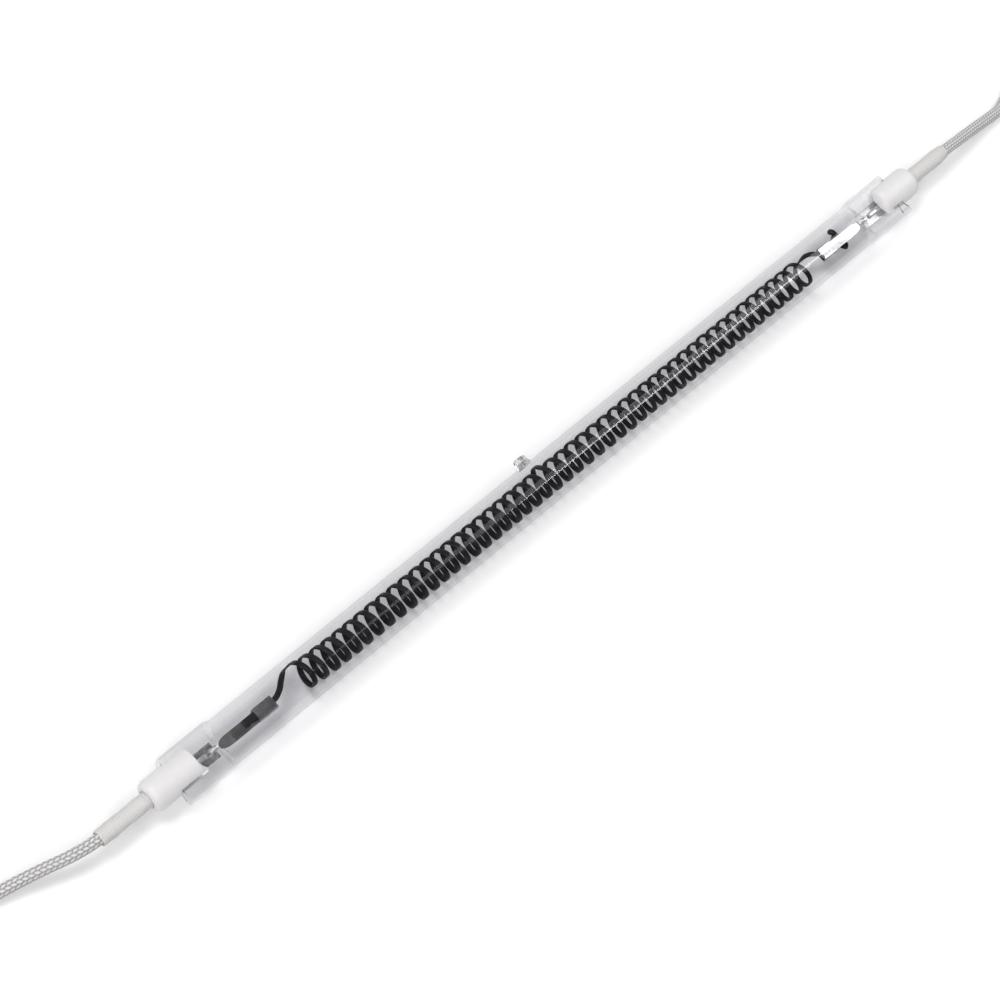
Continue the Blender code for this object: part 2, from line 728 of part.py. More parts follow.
def make_lead(side, materials):
    points = spaced(catmull_rom(lead_points(side), 12), 2 * LEAD_DIAMETER)
    curve = bpy.data.curves.new(f"{side}_lead", "CURVE")
    curve.dimensions = "3D"
    curve.bevel_depth = LEAD_RADIUS
    curve.bevel_resolution = 2
    curve.use_fill_caps = True
    spline = curve.splines.new("POLY")
    spline.points.add(len(points) - 1)
    for knot, point in zip(spline.points, points):
        knot.co = (*point, 1.0)
    curve.materials.append(materials["braid"])
    lead = bpy.data.objects.new(f"{side}_lead", curve)
    bpy.context.collection.objects.link(lead)
    return lead


def near_fold(side):
    """Centre of the hank's fold nearest the lamp, as distance from the middle of the lamp and y.

    The lead runs straight on into the hank, and the rim of its end is a seat gap from the fold.
    """
    end = lead_points(side)[-1]
    rim = FOLD_RADIUS - LEAD_RADIUS
    touch = HANK_HALF_WIDTH + SEAT_GAP
    return abs(end[0]) + math.sqrt(touch**2 - rim**2), end[1] - FOLD_RADIUS


def hank_stations():
    """Middle line of the hank, round once: point, outward normal and depth of the waist under the tie.

    Points are measured from the near fold's centre, with the first axis away from the lamp.
    """
    seat = TIE_WIDTH / 2 + SEAT_GAP
    run = [
        (0.0, 0.0), (TIE_PLACE - TIE_WIDTH, 0.0), (TIE_PLACE - seat, TIE_SINK),
        (TIE_PLACE + seat, TIE_SINK), (TIE_PLACE + TIE_WIDTH, 0.0), (HANK_RUN, 0.0),
    ]
    stations = [(Vector((out, FOLD_RADIUS)), Vector((0.0, 1.0)), sink) for out, sink in run]
    for i in range(1, FOLD_STEPS):
        angle = math.pi / 2 - math.pi * i / FOLD_STEPS
        normal = Vector((math.cos(angle), math.sin(angle)))
        stations.append((Vector((HANK_RUN, 0.0)) + normal * FOLD_RADIUS, normal, 0.0))
    stations += [(Vector((out, -FOLD_RADIUS)), Vector((0.0, -1.0)), sink) for out, sink in reversed(run)]
    for i in range(1, FOLD_STEPS):
        angle = -math.pi / 2 - math.pi * i / FOLD_STEPS
        normal = Vector((math.cos(angle), math.sin(angle)))
        stations.append((normal * FOLD_RADIUS, normal, 0.0))
    return stations


def cut_rectangle(half, low, high, corner):
    """A rectangle with its corners cut, as (offset, height) points."""
    return [
        (corner - half, low), (half - corner, low), (half, low + corner), (half, high - corner),
        (half - corner, high), (corner - half, high), (-half, high - corner), (-half, low + corner),
    ]


def make_lead_hank(side, materials):
    """The hank's outer shape: its section carried round the middle line, thinner under the tie."""
    out, centre_y = near_fold(side)
    section = cut_rectangle(LEAD_RADIUS, 0.0, HANK_HEIGHT, HANK_CORNER)
    rings = []
    for point, normal, sink in hank_stations():
        ring = []
        for offset, height in section:
            place = point + normal * offset * (1 - sink / LEAD_RADIUS)
            z = height * (1 - 2 * sink / HANK_HEIGHT) + sink
            ring.append((SIDES[side] * (out + place.x), centre_y + place.y, z))
        rings.append(ring)
    bm = loft(rings, path_closed=True)
    return finish_object(f"{side}_lead_hank", bm, materials["braid"])


def make_tie(side, materials):
    """A flat strap closed round both runs of the hank."""
    out, centre_y = near_fold(side)
    inner_corner = HANK_CORNER - (2 - math.sqrt(2)) * TIE_THICKNESS
    outer = cut_rectangle(HANK_HALF_WIDTH, 0.0, HANK_HEIGHT, HANK_CORNER)
    inner = cut_rectangle(
        HANK_HALF_WIDTH - TIE_THICKNESS, TIE_THICKNESS, HANK_HEIGHT - TIE_THICKNESS, inner_corner
    )
    middle = out + TIE_PLACE
    rings = [
        [(SIDES[side] * (middle + shift * TIE_WIDTH / 2), centre_y + y, z) for y, z in loop]
        for shift, loop in ((-1, outer), (1, outer), (1, inner), (-1, inner))
    ]
    return finish_object(f"{side}_lead_tie", loft(rings, path_closed=True), materials["tie"])


def make_lead_tip(side, materials):
    """The bare tinned end of the lead, lying in the hank's near fold."""
    out, centre_y = near_fold(side)
    radius, half = TIP_WIRE_DIAMETER / 2, TIP_WIRE_LENGTH / 2
    y = centre_y - math.sqrt(TIP_WIRE_ROOM**2 - half**2)
    stations = ((-half, 0.7), (radius / 2 - half, 1.0), (half, 1.0))
    rings = []
    for along, share in stations:
        ring = [(across * share, up * share) for across, up in circle(12)]
        rings.append([(SIDES[side] * (out + along), y + radius * a, radius * (1 + b)) for a, b in ring])
    return finish_object(f"{side}_lead_tip", loft(rings), materials["tinned"])


def main():
    clear_scene()
    bpy.context.scene.unit_settings.scale_length = 1.0
    materials = make_materials()
    make_quartz_tube(materials)
    make_carbon_spiral(materials)
    makers = (
        make_foil, make_inner_rod, make_outer_rod, make_rod_coil, make_contact_strip, make_clamp,
        make_cap, make_cement, make_crimp, make_sleeve,
        make_lead, make_lead_hank, make_tie, make_lead_tip,
    )
    for side in SIDES:
        for make in makers:
            make(side, materials)


main()
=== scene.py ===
# Quartz infrared heating lamp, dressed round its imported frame. Metres, +Z up, the lamp lies along X.
import math

import bpy
import numpy as np
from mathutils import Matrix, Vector


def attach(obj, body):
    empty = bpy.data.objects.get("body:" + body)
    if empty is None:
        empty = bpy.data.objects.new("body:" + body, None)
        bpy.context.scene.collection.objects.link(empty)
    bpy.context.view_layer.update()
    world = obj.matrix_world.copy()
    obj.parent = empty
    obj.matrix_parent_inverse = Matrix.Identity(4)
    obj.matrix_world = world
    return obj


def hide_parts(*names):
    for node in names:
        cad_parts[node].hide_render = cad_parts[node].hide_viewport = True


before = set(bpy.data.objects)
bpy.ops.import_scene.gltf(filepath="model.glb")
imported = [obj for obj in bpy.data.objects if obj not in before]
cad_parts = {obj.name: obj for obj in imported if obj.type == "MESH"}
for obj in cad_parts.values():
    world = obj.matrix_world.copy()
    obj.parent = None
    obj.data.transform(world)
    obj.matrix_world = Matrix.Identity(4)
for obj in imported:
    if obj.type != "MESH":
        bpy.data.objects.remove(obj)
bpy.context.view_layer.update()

mm = 0.001
sides = {"left": -1, "right": 1}
axisHeight = 6 * mm


# Grid to mesh: rows run along the piece, columns run round it, counter-clockwise about the row direction.
def buildSurface(name, grid, along=None, around=None, wrapRows=False, wrapColumns=True, capEnds=True,
                 sharpAngle=40, flip=False):
    grid = np.asarray(grid, float)
    rows, columns = grid.shape[:2]
    rowFaces = rows if wrapRows else rows - 1
    columnFaces = columns if wrapColumns else columns - 1
    along = np.arange(rowFaces + 1) * mm if along is None else np.asarray(along, float)
    around = np.arange(columnFaces + 1) * mm if around is None else np.asarray(around, float)
    r, c = np.meshgrid(np.arange(rowFaces), np.arange(columnFaces), indexing="ij")
    r, c = r.ravel(), c.ravel()
    nextR, nextC = (r + 1) % rows, (c + 1) % columns
    quads = np.stack([r * columns + c, r * columns + nextC, nextR * columns + nextC, nextR * columns + c], 1)
    quadUv = np.stack([along[r], around[c], along[r], around[c + 1],
                       along[r + 1], around[c + 1], along[r + 1], around[c]], 1).reshape(-1, 4, 2)
    points = grid.reshape(-1, 3)
    corners, starts, uvs = [quads.ravel()], [np.arange(len(quads)) * 4], [quadUv.reshape(-1, 2)]
    if capEnds and wrapColumns and not wrapRows:
        points = np.vstack([points, grid[0].mean(0), grid[-1].mean(0)])
        ring = np.arange(columns)
        following = (ring + 1) % columns
        first = np.stack([np.full(columns, rows * columns), following, ring], 1)
        last = (rows - 1) * columns
        final = np.stack([np.full(columns, rows * columns + 1), last + ring, last + following], 1)
        fans = np.vstack([first, final])
        corners.append(fans.ravel())
        starts.append(len(quads) * 4 + np.arange(len(fans)) * 3)
        ends = np.repeat([along[0], along[-1]], columns * 3)
        turns = np.tile(np.stack([around[ring], around[ring + 1], around[ring]], 1).ravel(), 2)
        uvs.append(np.stack([ends, turns], 1))
    corners, starts, uvs = np.concatenate(corners), np.concatenate(starts), np.concatenate(uvs)
    mesh = bpy.data.meshes.new(name)
    mesh.vertices.add(len(points))
    mesh.vertices.foreach_set("co", points.astype(np.float32).ravel())
    mesh.loops.add(len(corners))
    mesh.loops.foreach_set("vertex_index", corners.astype(np.int32))
    mesh.polygons.add(len(starts))
    mesh.polygons.foreach_set("loop_start", starts.astype(np.int32))
    mesh.update(calc_edges=True)
    mesh.validate()
    uvLayer = mesh.uv_layers.new(name="UVMap")
    uvLayer.data.foreach_set("uv", uvs.astype(np.float32).ravel())
    if flip:
        mesh.flip_normals()
    mesh.shade_smooth()
    mesh.set_sharp_from_angle(angle=math.radians(sharpAngle))
    piece = bpy.data.objects.new(name, mesh)
    bpy.context.collection.objects.link(piece)
    return piece


# The piece takes its material, its body and the CAD nodes that it stands for.
def dress(piece, material, slotName, *replaced):
    piece.data.materials.clear()
    piece.data.materials.append(material)
    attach(piece, "root")
    if replaced:
        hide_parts(*replaced)
    return piece


def setAttribute(piece, name, values):
    layer = piece.data.attributes.new(name, "FLOAT", "POINT")
    full = np.full(len(piece.data.vertices), float(np.mean(values)), np.float32)
    full[:values.size] = values.ravel()
    layer.data.foreach_set("value", full)


# Turns a closed mesh right side out where its signed volume is negative.
def fixOutside(piece):
    mesh = piece.data
    mesh.calc_loop_triangles()
    points = np.empty(len(mesh.vertices) * 3)
    mesh.vertices.foreach_get("co", points)
    points = points.reshape(-1, 3)
    triangles = np.empty(len(mesh.loop_triangles) * 3, np.int32)
    mesh.loop_triangles.foreach_get("vertices", triangles)
    a, b, c = points[triangles.reshape(-1, 3)].transpose(1, 0, 2)
    if np.einsum("ij,ij->", a, np.cross(b, c)) < 0:
        mesh.flip_normals()


# Several meshes become one object.
def joinPieces(name, parts):
    for part in parts:
        part.select_set(True)
    bpy.context.view_layer.objects.active = parts[0]
    with bpy.context.temp_override(active_object=parts[0], selected_objects=parts,
                                   selected_editable_objects=parts):
        bpy.ops.object.join()
    parts[0].name = name
    parts[0].data.name = name
    parts[0].select_set(False)
    return parts[0]


# Smooth curve through the points: a Catmull-Rom cubic in each span.
def smoothCurve(knots, perSpan):
    knots = np.asarray(knots, float)
    padded = np.vstack([2 * knots[0] - knots[1], knots, 2 * knots[-1] - knots[-2]])
    t = (np.arange(perSpan) / perSpan)[None, :, None]
    a, b, c, d = padded[:-3, None], padded[1:-2, None], padded[2:-1, None], padded[3:, None]
    curve = 0.5 * (2 * b + (c - a) * t + (2 * a - 5 * b + 4 * c - d) * t**2
                   + (3 * b - a - 3 * c + d) * t**3)
    return np.vstack([curve.reshape(-1, knots.shape[1]), knots[-1:]])


def unit(vectors):
    return vectors / np.linalg.norm(vectors, axis=-1, keepdims=True)


def arcLength(points):
    return np.concatenate([[0], np.cumsum(np.linalg.norm(np.diff(points, axis=0), axis=1))])


# The curve read again at these distances from its start.
def atDistances(points, distances):
    lengths = arcLength(points)
    return np.stack([np.interp(distances, lengths, points[:, k]) for k in range(points.shape[1])], 1)


def smoothStep(t):
    t = np.clip(t, 0, 1)
    return t * t * (3 - 2 * t)


# Cosine and sine at equal steps round a circle. A power below 1 squares the circle up.
def circle(count, turn=0.0, power=1.0):
    angles = 2 * np.pi * (np.arange(count) + turn) / count
    return [np.sign(v) * np.abs(v) ** power for v in (np.cos(angles), np.sin(angles))]


# Rows of points from x, y and z, each given whole, by row or by column.
def pointGrid(x, y, z):
    return np.stack(np.broadcast_arrays(x, y, z), -1)


# A section carried along a path: centre + first * side + second * up, section given row by row or once.
def sweep(path, side, up, first, second):
    first = np.broadcast_to(first, (len(path), np.shape(first)[-1]))
    second = np.broadcast_to(second, (len(path), np.shape(second)[-1]))
    return path[:, None] + first[..., None] * side[:, None] + second[..., None] * up[:, None]


# Side and up directions of a path whose sections stay upright.
def uprightFrames(path):
    tangent = unit(np.gradient(path, axis=0))
    side = unit(np.cross(tangent, np.array([0.0, 0.0, 1.0])))
    return side, np.cross(side, tangent)


# A bar along X whose section is a superellipse: |y/w|^p + |z/t|^p = 1.
def barAlongX(xs, widths, thicks, centreY=0.0, centreZ=axisHeight, power=6.0, count=32):
    y, z = circle(count, 0.5, 2 / power)
    xs, widths, thicks, centreY, centreZ = [
        np.asarray(v, float).reshape(-1, 1) for v in (xs, widths, thicks, centreY, centreZ)]
    return pointGrid(xs, centreY + widths * y, centreZ + thicks * z)


# Grids are built towards +X. On the left the rows are turned round, so that the faces still point out.
def placed(side, grid):
    grid = grid.copy()
    if sides[side] < 0:
        grid[..., 0] *= -1
        grid = grid[::-1]
    return grid


# Camera, at the photograph's viewing angle
cameraPlan = {
    "aim": (-17.75 * mm, 3.013 * mm, 6.53 * mm),
    "towardsCamera": (-0.4305, -0.1567, 0.8889),
    "imageUp": (0.5690, 0.7174, 0.4021),
    "distance": 0.7154,
    "lens": 108.25,
    "sensor": 36.0,
}


def placeCamera():
    data = bpy.data.cameras.new("camera")
    data.lens, data.sensor_width = cameraPlan["lens"], cameraPlan["sensor"]
    data.sensor_fit = "HORIZONTAL"
    data.clip_start, data.clip_end = 0.01, 20
    back = unit(np.array(cameraPlan["towardsCamera"]))
    right = unit(np.cross(np.array(cameraPlan["imageUp"]), back))
    up = np.cross(back, right)
    camera = bpy.data.objects.new("camera", data)
    matrix = np.eye(4)
    matrix[:3, 0], matrix[:3, 1], matrix[:3, 2] = right, up, back
    matrix[:3, 3] = np.array(cameraPlan["aim"]) + back * cameraPlan["distance"]
    camera.matrix_world = matrix.T.tolist()
    bpy.context.collection.objects.link(camera)
    bpy.context.scene.camera = camera


placeCamera()
print("camera placed")


# Node helpers
class Nodes:
    def __init__(self, tree):
        self.tree = tree

    def add(self, kind, settings=None, **inputs):
        node = self.tree.nodes.new(kind)
        for key, value in (settings or {}).items():
            setattr(node, key, value)
        return self.putAll(node, **inputs)

    def put(self, node, key, value):
        socket = node.inputs[int(key)] if key.isdigit() else node.inputs[key]
        if isinstance(value, bpy.types.NodeSocket):
            self.tree.links.new(value, socket)
        else:
            socket.default_value = value

    def putAll(self, node, **values):
        for key, value in values.items():
            self.put(node, key.replace("_", " "), value)
        return node

    def math(self, operation, *values):
        node = self.add("ShaderNodeMath", {"operation": operation})
        for slot, value in enumerate(values):
            self.put(node, str(slot), value)
        return node.outputs[0]

    def remap(self, value, start, end, low=0.0, high=1.0):
        node = self.add("ShaderNodeMapRange", {"interpolation_type": "SMOOTHSTEP"}, Value=value,
                        From_Min=start, From_Max=end, To_Min=low, To_Max=high)
        return node.outputs[0]

    def ramp(self, factor, stops):
        node = self.add("ShaderNodeValToRGB", Fac=factor)
        elements = node.color_ramp.elements
        while len(elements) < len(stops):
            elements.new(0.5)
        for element, (place, colour) in zip(elements, stops):
            element.position = place
            element.color = (*colour, 1.0)
        return node.outputs["Color"]


def newMaterial(name, colour, roughness, metallic=0.0, **sockets):
    material = bpy.data.materials.new(name)
    material.use_nodes = True
    material.diffuse_color = (*colour, 1.0)
    nodes = Nodes(material.node_tree)
    shader = material.node_tree.nodes["Principled BSDF"]
    nodes.putAll(shader, Base_Color=(*colour, 1.0), Roughness=roughness, Metallic=metallic, **sockets)
    return material, nodes, shader


def newGroup(name, inputs, outputs):
    tree = bpy.data.node_groups.new(name, "ShaderNodeTree")
    for label, kind, value in inputs:
        socket = tree.interface.new_socket(label, in_out="INPUT", socket_type=kind)
        socket.default_value = value
    for label, kind in outputs:
        tree.interface.new_socket(label, in_out="OUTPUT", socket_type=kind)
    nodes = Nodes(tree)
    return tree, nodes, nodes.add("NodeGroupInput"), nodes.add("NodeGroupOutput")


# Fine grain: two noises in Object coordinates, out as a mask and as a bumped normal.
def makeGrainGroup():
    tree, nodes, given, result = newGroup(
        "fineGrain",
        [("Scale", "NodeSocketFloat", 900.0), ("Stretch", "NodeSocketVector", (1.0, 1.0, 1.0)),
         ("Height", "NodeSocketFloat", 0.00002)],
        [("Mask", "NodeSocketFloat"), ("Normal", "NodeSocketVector")],
    )
    place = nodes.add("ShaderNodeTexCoord")
    mapping = nodes.add("ShaderNodeMapping", Vector=place.outputs["Object"], Scale=given.outputs["Stretch"])
    coarse = nodes.add("ShaderNodeTexNoise", Vector=mapping.outputs[0],
                       Scale=given.outputs["Scale"], Detail=3.0)
    fine = nodes.add("ShaderNodeTexNoise", Vector=mapping.outputs[0],
                     Scale=nodes.math("MULTIPLY", given.outputs["Scale"], 3.7), Detail=2.0)
    mask = nodes.math("ADD", nodes.math("MULTIPLY", coarse.outputs["Fac"], 0.65),
                      nodes.math("MULTIPLY", fine.outputs["Fac"], 0.35))
    bump = nodes.add("ShaderNodeBump", Height=mask, Distance=given.outputs["Height"], Strength=1.0)
    nodes.putAll(result, Mask=mask, Normal=bump.outputs[0])
    return tree


grainGroup = makeGrainGroup()


def grain(nodes, scale, height, stretch=(1.0, 1.0, 1.0)):
    group = {"node_tree": grainGroup}
    return nodes.add("ShaderNodeGroup", group, Scale=scale, Stretch=stretch, Height=height)


# Stage: a plain pale floor that keeps the lamp's shadow. Its glow grows with the distance from the lamp.
stagePlan = {
    "floorColour": (0.86, 0.86, 0.865),
    "floorGlow": (0.19, 1.04),
    "glowGrows": (0.4, 1.7),
    "floorHalf": 12.0,
    "floorLevel": -0.02 * mm,
    "worldColour": (0.97, 0.97, 1.0),
    "worldStrength": 0.10,
    "backdropY": (-0.3, 0.3),
    "backdropZ": (0.5, 0.15),
}


# Any ray that shows the floor to the eye: straight on, in a reflection or through glass.
def seenRays(nodes):
    path = nodes.add("ShaderNodeLightPath")
    shown = nodes.math("MAXIMUM", path.outputs["Is Camera Ray"], path.outputs["Is Glossy Ray"])
    return nodes.math("MAXIMUM", shown, path.outputs["Is Transmission Ray"])


def makeFloor():
    plan = stagePlan
    corner = np.array([-plan["floorHalf"], plan["floorHalf"]])
    x, y = np.meshgrid(corner, corner, indexing="ij")
    floor = buildSurface("floor", pointGrid(x, y, plan["floorLevel"]), wrapColumns=False, capEnds=False)
    if floor.data.polygons[0].normal.z < 0:
        floor.data.flip_normals()
    material = bpy.data.materials.new("floorPaper")
    material.use_nodes = True
    material.node_tree.nodes.clear()
    nodes = Nodes(material.node_tree)
    paper = nodes.add("ShaderNodeBsdfDiffuse", Color=(*plan["floorColour"], 1.0))
    place = nodes.add("ShaderNodeTexCoord").outputs["Object"]
    away = nodes.add("ShaderNodeVectorMath", {"operation": "LENGTH"}, Vector=place).outputs["Value"]
    level = nodes.remap(away, *plan["glowGrows"], *plan["floorGlow"])
    glow = nodes.add("ShaderNodeEmission", Strength=nodes.math("MULTIPLY", seenRays(nodes), level))
    both = nodes.add("ShaderNodeAddShader")
    nodes.put(both, "0", paper.outputs[0])
    nodes.put(both, "1", glow.outputs[0])
    nodes.add("ShaderNodeOutputMaterial", Surface=both.outputs[0])
    floor.data.materials.append(material)


# The room is dim, but what is seen straight on, through glass or mirrored low down is the white backdrop.
def makeWorld():
    plan = stagePlan
    world = bpy.data.worlds.new("studio")
    bpy.context.scene.world = world
    world.use_nodes = True
    nodes = Nodes(world.node_tree)
    path = nodes.add("ShaderNodeLightPath").outputs
    place = nodes.add("ShaderNodeTexCoord").outputs["Generated"]
    direction = nodes.add("ShaderNodeSeparateXYZ", Vector=place).outputs
    behind = nodes.remap(direction["Y"], *plan["backdropY"])
    low = nodes.remap(direction["Z"], *plan["backdropZ"])
    mirrored = nodes.math("MAXIMUM", path["Is Glossy Ray"], path["Is Transmission Ray"])
    mirrored = nodes.math("MULTIPLY", mirrored, nodes.math("MULTIPLY", behind, low))
    shown = nodes.math("MAXIMUM", path["Is Camera Ray"], mirrored)
    nodes.putAll(world.node_tree.nodes["Background"], Color=(*plan["worldColour"], 1.0),
                 Strength=nodes.math("MAXIMUM", shown, plan["worldStrength"]))


# Lamps. The softbox and its bright strip stand where the tube mirrors them, and their edges draw the lines
# along the glass. Key and fill stand where the tube doesn't mirror them towards the camera.
lampPlans = {
    "softbox": {"place": (0.953, -0.306, 1.0), "size": (1.25, 0.44), "turn": -19.3, "radiance": 1.6},
    "rightBox": {"place": (0.93, 0.14, 0.99), "size": (0.62, 0.55), "turn": 47.0, "radiance": 3.0},
    "edgeStrip": {"place": (0.64, -0.255, 0.98), "size": (0.40, 0.11), "turn": 47.0, "radiance": 10.0},
    "key": {"place": (-0.30, 0.50, 1.15), "size": (0.50, 0.50), "turn": 0.0, "radiance": 10.6},
    "fill": {"place": (-0.95, -0.45, 0.95), "size": (1.0, 1.0), "turn": 0.0, "radiance": 2.8},
}


def makeLamps():
    for name, plan in lampPlans.items():
        data = bpy.data.lights.new(name, "AREA")
        data.shape = "RECTANGLE"
        data.size, data.size_y = plan["size"]
        data.energy = plan["radiance"] * math.pi * plan["size"][0] * plan["size"][1]
        lamp = bpy.data.objects.new(name, data)
        lamp.location = plan["place"]
        lamp.rotation_euler = (0, 0, math.radians(plan["turn"]))
        if name in ("key", "fill"):
            towards = -Vector(plan["place"])
            lamp.rotation_euler = towards.to_track_quat("-Z", "Y").to_euler()
        bpy.context.collection.objects.link(lamp)


makeFloor()
makeWorld()
makeLamps()
bpy.context.scene.view_settings.view_transform = "Standard"
print("stage and lamps ready")


# Quartz tube: the bore, the shoulders, the pinched seals and the sealed exhaust tip
tubePlan = {
    "radius": 6.0 * mm,
    "bore": 5.0 * mm,
    "end": 124.25 * mm,
    "pinchStart": 110.95 * mm,
    "shoulder": 2.2 * mm,
    "pinchHalf": 6.25 * mm,
    "edgeWidth": 1.05 * mm,
    "webHalf": 1.6 * mm,
    "edgeRise": 0.75 * mm,
    "pocketWidth": 2.35 * mm,
    "pocketHeight": 1.1 * mm,
    "pocketEnd": 112.1 * mm,
    "tipPlace": -7.0 * mm,
    "tipRadius": 1.8 * mm,
    "tipHeight": 2.15 * mm,
    "tipTail": 2.6 * mm,
    "mound": 0.35,
    "endEase": 0.35 * mm,
    "pocketRim": 0.8 * mm,
}


# Outline of the seal as points at equal index steps: a quarter from +Y to +Z, mirrored twice, corners eased.
def sealOutline(count):
    plan = tubePlan
    edge, web = plan["pinchHalf"], plan["webHalf"]
    inner, top = edge - plan["edgeWidth"], web + plan["edgeRise"]
    ease = 0.3 * mm
    quarter = np.array([
        (edge, 0), (edge, top - ease), (edge - 0.3 * ease, top - 0.3 * ease), (edge - ease, top),
        (inner + ease, top), (inner, top - ease), (inner, web + ease), (inner - ease, web),
        ((inner - ease) / 2, web), (0, web),
    ])
    index = np.linspace(0, len(quarter) - 1, count // 4 + 1)
    y = np.interp(index, np.arange(len(quarter)), quarter[:, 0])
    z = np.interp(index, np.arange(len(quarter)), quarter[:, 1])
    y = np.concatenate([y, -y[-2::-1], -y[1:], y[-2:0:-1]])
    z = np.concatenate([z, z[-2::-1], -z[1:], -z[-2:0:-1]])
    for _ in range(3):
        y = 0.25 * np.roll(y, 1) + 0.5 * y + 0.25 * np.roll(y, -1)
        z = 0.25 * np.roll(z, 1) + 0.5 * z + 0.25 * np.roll(z, -1)
    return y, z


# Height of the exhaust tip over the tube: a steep rounded dome with a tail drawn out towards +X.
def tipHeight(x, around):
    plan = tubePlan
    reach = plan["tipRadius"]
    ahead = np.maximum(x - plan["tipPlace"], 0)
    narrow = 1 + 0.9 * smoothStep(ahead / (reach + plan["tipTail"]))
    squeeze = np.where(x > plan["tipPlace"], reach / (reach + 0.25 * plan["tipTail"]), 1.0)
    across, out = np.abs(x - plan["tipPlace"]) * squeeze, np.abs(around) * narrow
    distance = (across**3 + out**3) ** (1 / 3) / reach
    dome = np.where(distance < 1, np.maximum(1 - distance**5, 0) ** 0.5, 0)
    dome = dome * (1 + 0.05 * np.sin(3100 * x + 1) * np.sin(2700 * around))
    tail = 0.16 * np.exp(-(around / (0.35 * reach)) ** 2) * smoothStep(1 - ahead / (reach + plan["tipTail"]))
    return plan["mound"] * plan["tipHeight"] * np.where(x > plan["tipPlace"], np.maximum(dome, tail), dome)


# Tube: circles that turn into the seal's outline over the shoulder. The bore narrows there to a shallow
# pocket.
def makeTube(material):
    plan = tubePlan
    count = 144
    sealY, sealZ = sealOutline(count)
    cosines, sines = circle(count)
    ease, length = plan["endEase"], plan["shoulder"]
    narrowsAt = plan["pinchStart"] - length
    near = plan["tipPlace"] + np.linspace(-2.6, 5.4, 130) * mm
    right = np.linspace(near[-1] + 1 * mm, narrowsAt, 40)
    left = np.linspace(-narrowsAt, near[0] - 1 * mm, 40)
    shoulder = plan["pinchStart"] - length * np.linspace(1, 0, 25)[1:]
    flat = np.linspace(plan["pinchStart"], plan["end"] - ease, 24)[1:-1]
    rim = plan["end"] - ease * (1 - np.sin(np.linspace(0, np.pi / 2, 6)))
    tail = np.concatenate([shoulder, flat, rim])
    xs = np.concatenate([-tail[::-1], left, near, right, tail])[:, None]
    share = smoothStep((np.abs(xs) - narrowsAt) / length)
    past = np.clip((np.abs(xs) - plan["end"] + ease) / ease, 0, 1)
    tuck = ease * (1 - np.sqrt(1 - past**2))
    y = (1 - share) * plan["radius"] * cosines + share * sealY
    z = (1 - share) * plan["radius"] * sines + share * sealZ
    shrink = 1 - tuck / np.maximum(np.hypot(y, z), 1 * mm)
    around = np.where(cosines > 0, sines * plan["radius"], 1.0)
    grid = pointGrid(xs, y * shrink + tipHeight(xs, around), z * shrink + axisHeight)
    outer = buildSurface("tubeOuter", grid, along=xs.ravel(), around=np.arange(count + 1) * 0.26 * mm)

    rim, length, start = plan["pocketRim"], length - 0.5 * mm, narrowsAt - 0.5 * mm
    narrowing = start + length * np.linspace(0, 1, 22)
    pocket = np.linspace(narrowing[-1], plan["pocketEnd"] - rim, 6)[1:]
    closing = plan["pocketEnd"] - rim * (1 - np.sin(np.linspace(0, np.pi / 2, 8)[1:]))
    tail = np.concatenate([narrowing, pocket, closing])
    xs = np.concatenate([-tail[::-1], np.linspace(-start, start, 42)[1:-1], tail])[:, None]
    share = smoothStep((np.abs(xs) - start) / length)
    beyond = np.clip((np.abs(xs) - plan["pocketEnd"] + rim) / rim, 0, 1)
    shut = np.sqrt(np.maximum(1 - beyond**2, 0.0004))
    y = ((1 - share) * plan["bore"] + share * plan["pocketWidth"]) * shut * cosines
    z = ((1 - share) * plan["bore"] + share * plan["pocketHeight"]) * shut * sines
    inner = buildSurface("tubeInner", pointGrid(xs, y, z + axisHeight), along=xs.ravel(),
                         around=np.arange(count + 1) * 0.22 * mm, flip=True)
    for part, value in ((outer, 0.0), (inner, 1.0)):
        setAttribute(part, "bore", np.full(len(part.data.vertices), value))
    return dress(joinPieces("quartzGlass", [outer, inner]), material, "quartz", "quartz_tube")


# Shadow rays and scattered rays pass the glass with the given loss.
def letLightThrough(material, nodes, shader, loss):
    path = nodes.add("ShaderNodeLightPath").outputs
    through = nodes.add("ShaderNodeBsdfTransparent", Color=loss)
    unseen = nodes.math("MAXIMUM", path["Is Shadow Ray"], path["Is Diffuse Ray"])
    mix = nodes.add("ShaderNodeMixShader", Fac=unseen)
    nodes.put(mix, "1", shader.outputs[0])
    nodes.put(mix, "2", through.outputs[0])
    nodes.put(material.node_tree.nodes["Material Output"], "Surface", mix.outputs[0])


# Melted quartz keeps its full bend of light, so the bead glitters.
def makeBeadGlass():
    material, nodes, shader = newMaterial("meltedQuartz", (0.93, 0.93, 0.94), 0.0, IOR=1.458,
                                          Transmission_Weight=1.0)
    lumps = grain(nodes, 420.0, 0.00025).outputs
    colour = nodes.ramp(lumps["Mask"], [(0.38, (0.30, 0.28, 0.28)), (0.56, (0.94, 0.94, 0.95))])
    nodes.putAll(shader, Base_Color=colour, Normal=lumps["Normal"])
    letLightThrough(material, nodes, shader, (0.9, 0.9, 0.92, 1.0))
    return material


# Bead: the melted stub on the mound, r(t) = R (1 - t^7)^0.5 about +Y with low waves, and the bubble drawn
# into it.
beadPlan = {
    "place": (-7.2 * mm, 5.30 * mm),
    "lift": 1.1 * mm,
    "radii": (2.0 * mm, 1.55 * mm),
    "height": 2.85 * mm,
    "bubble": 0.52,
}


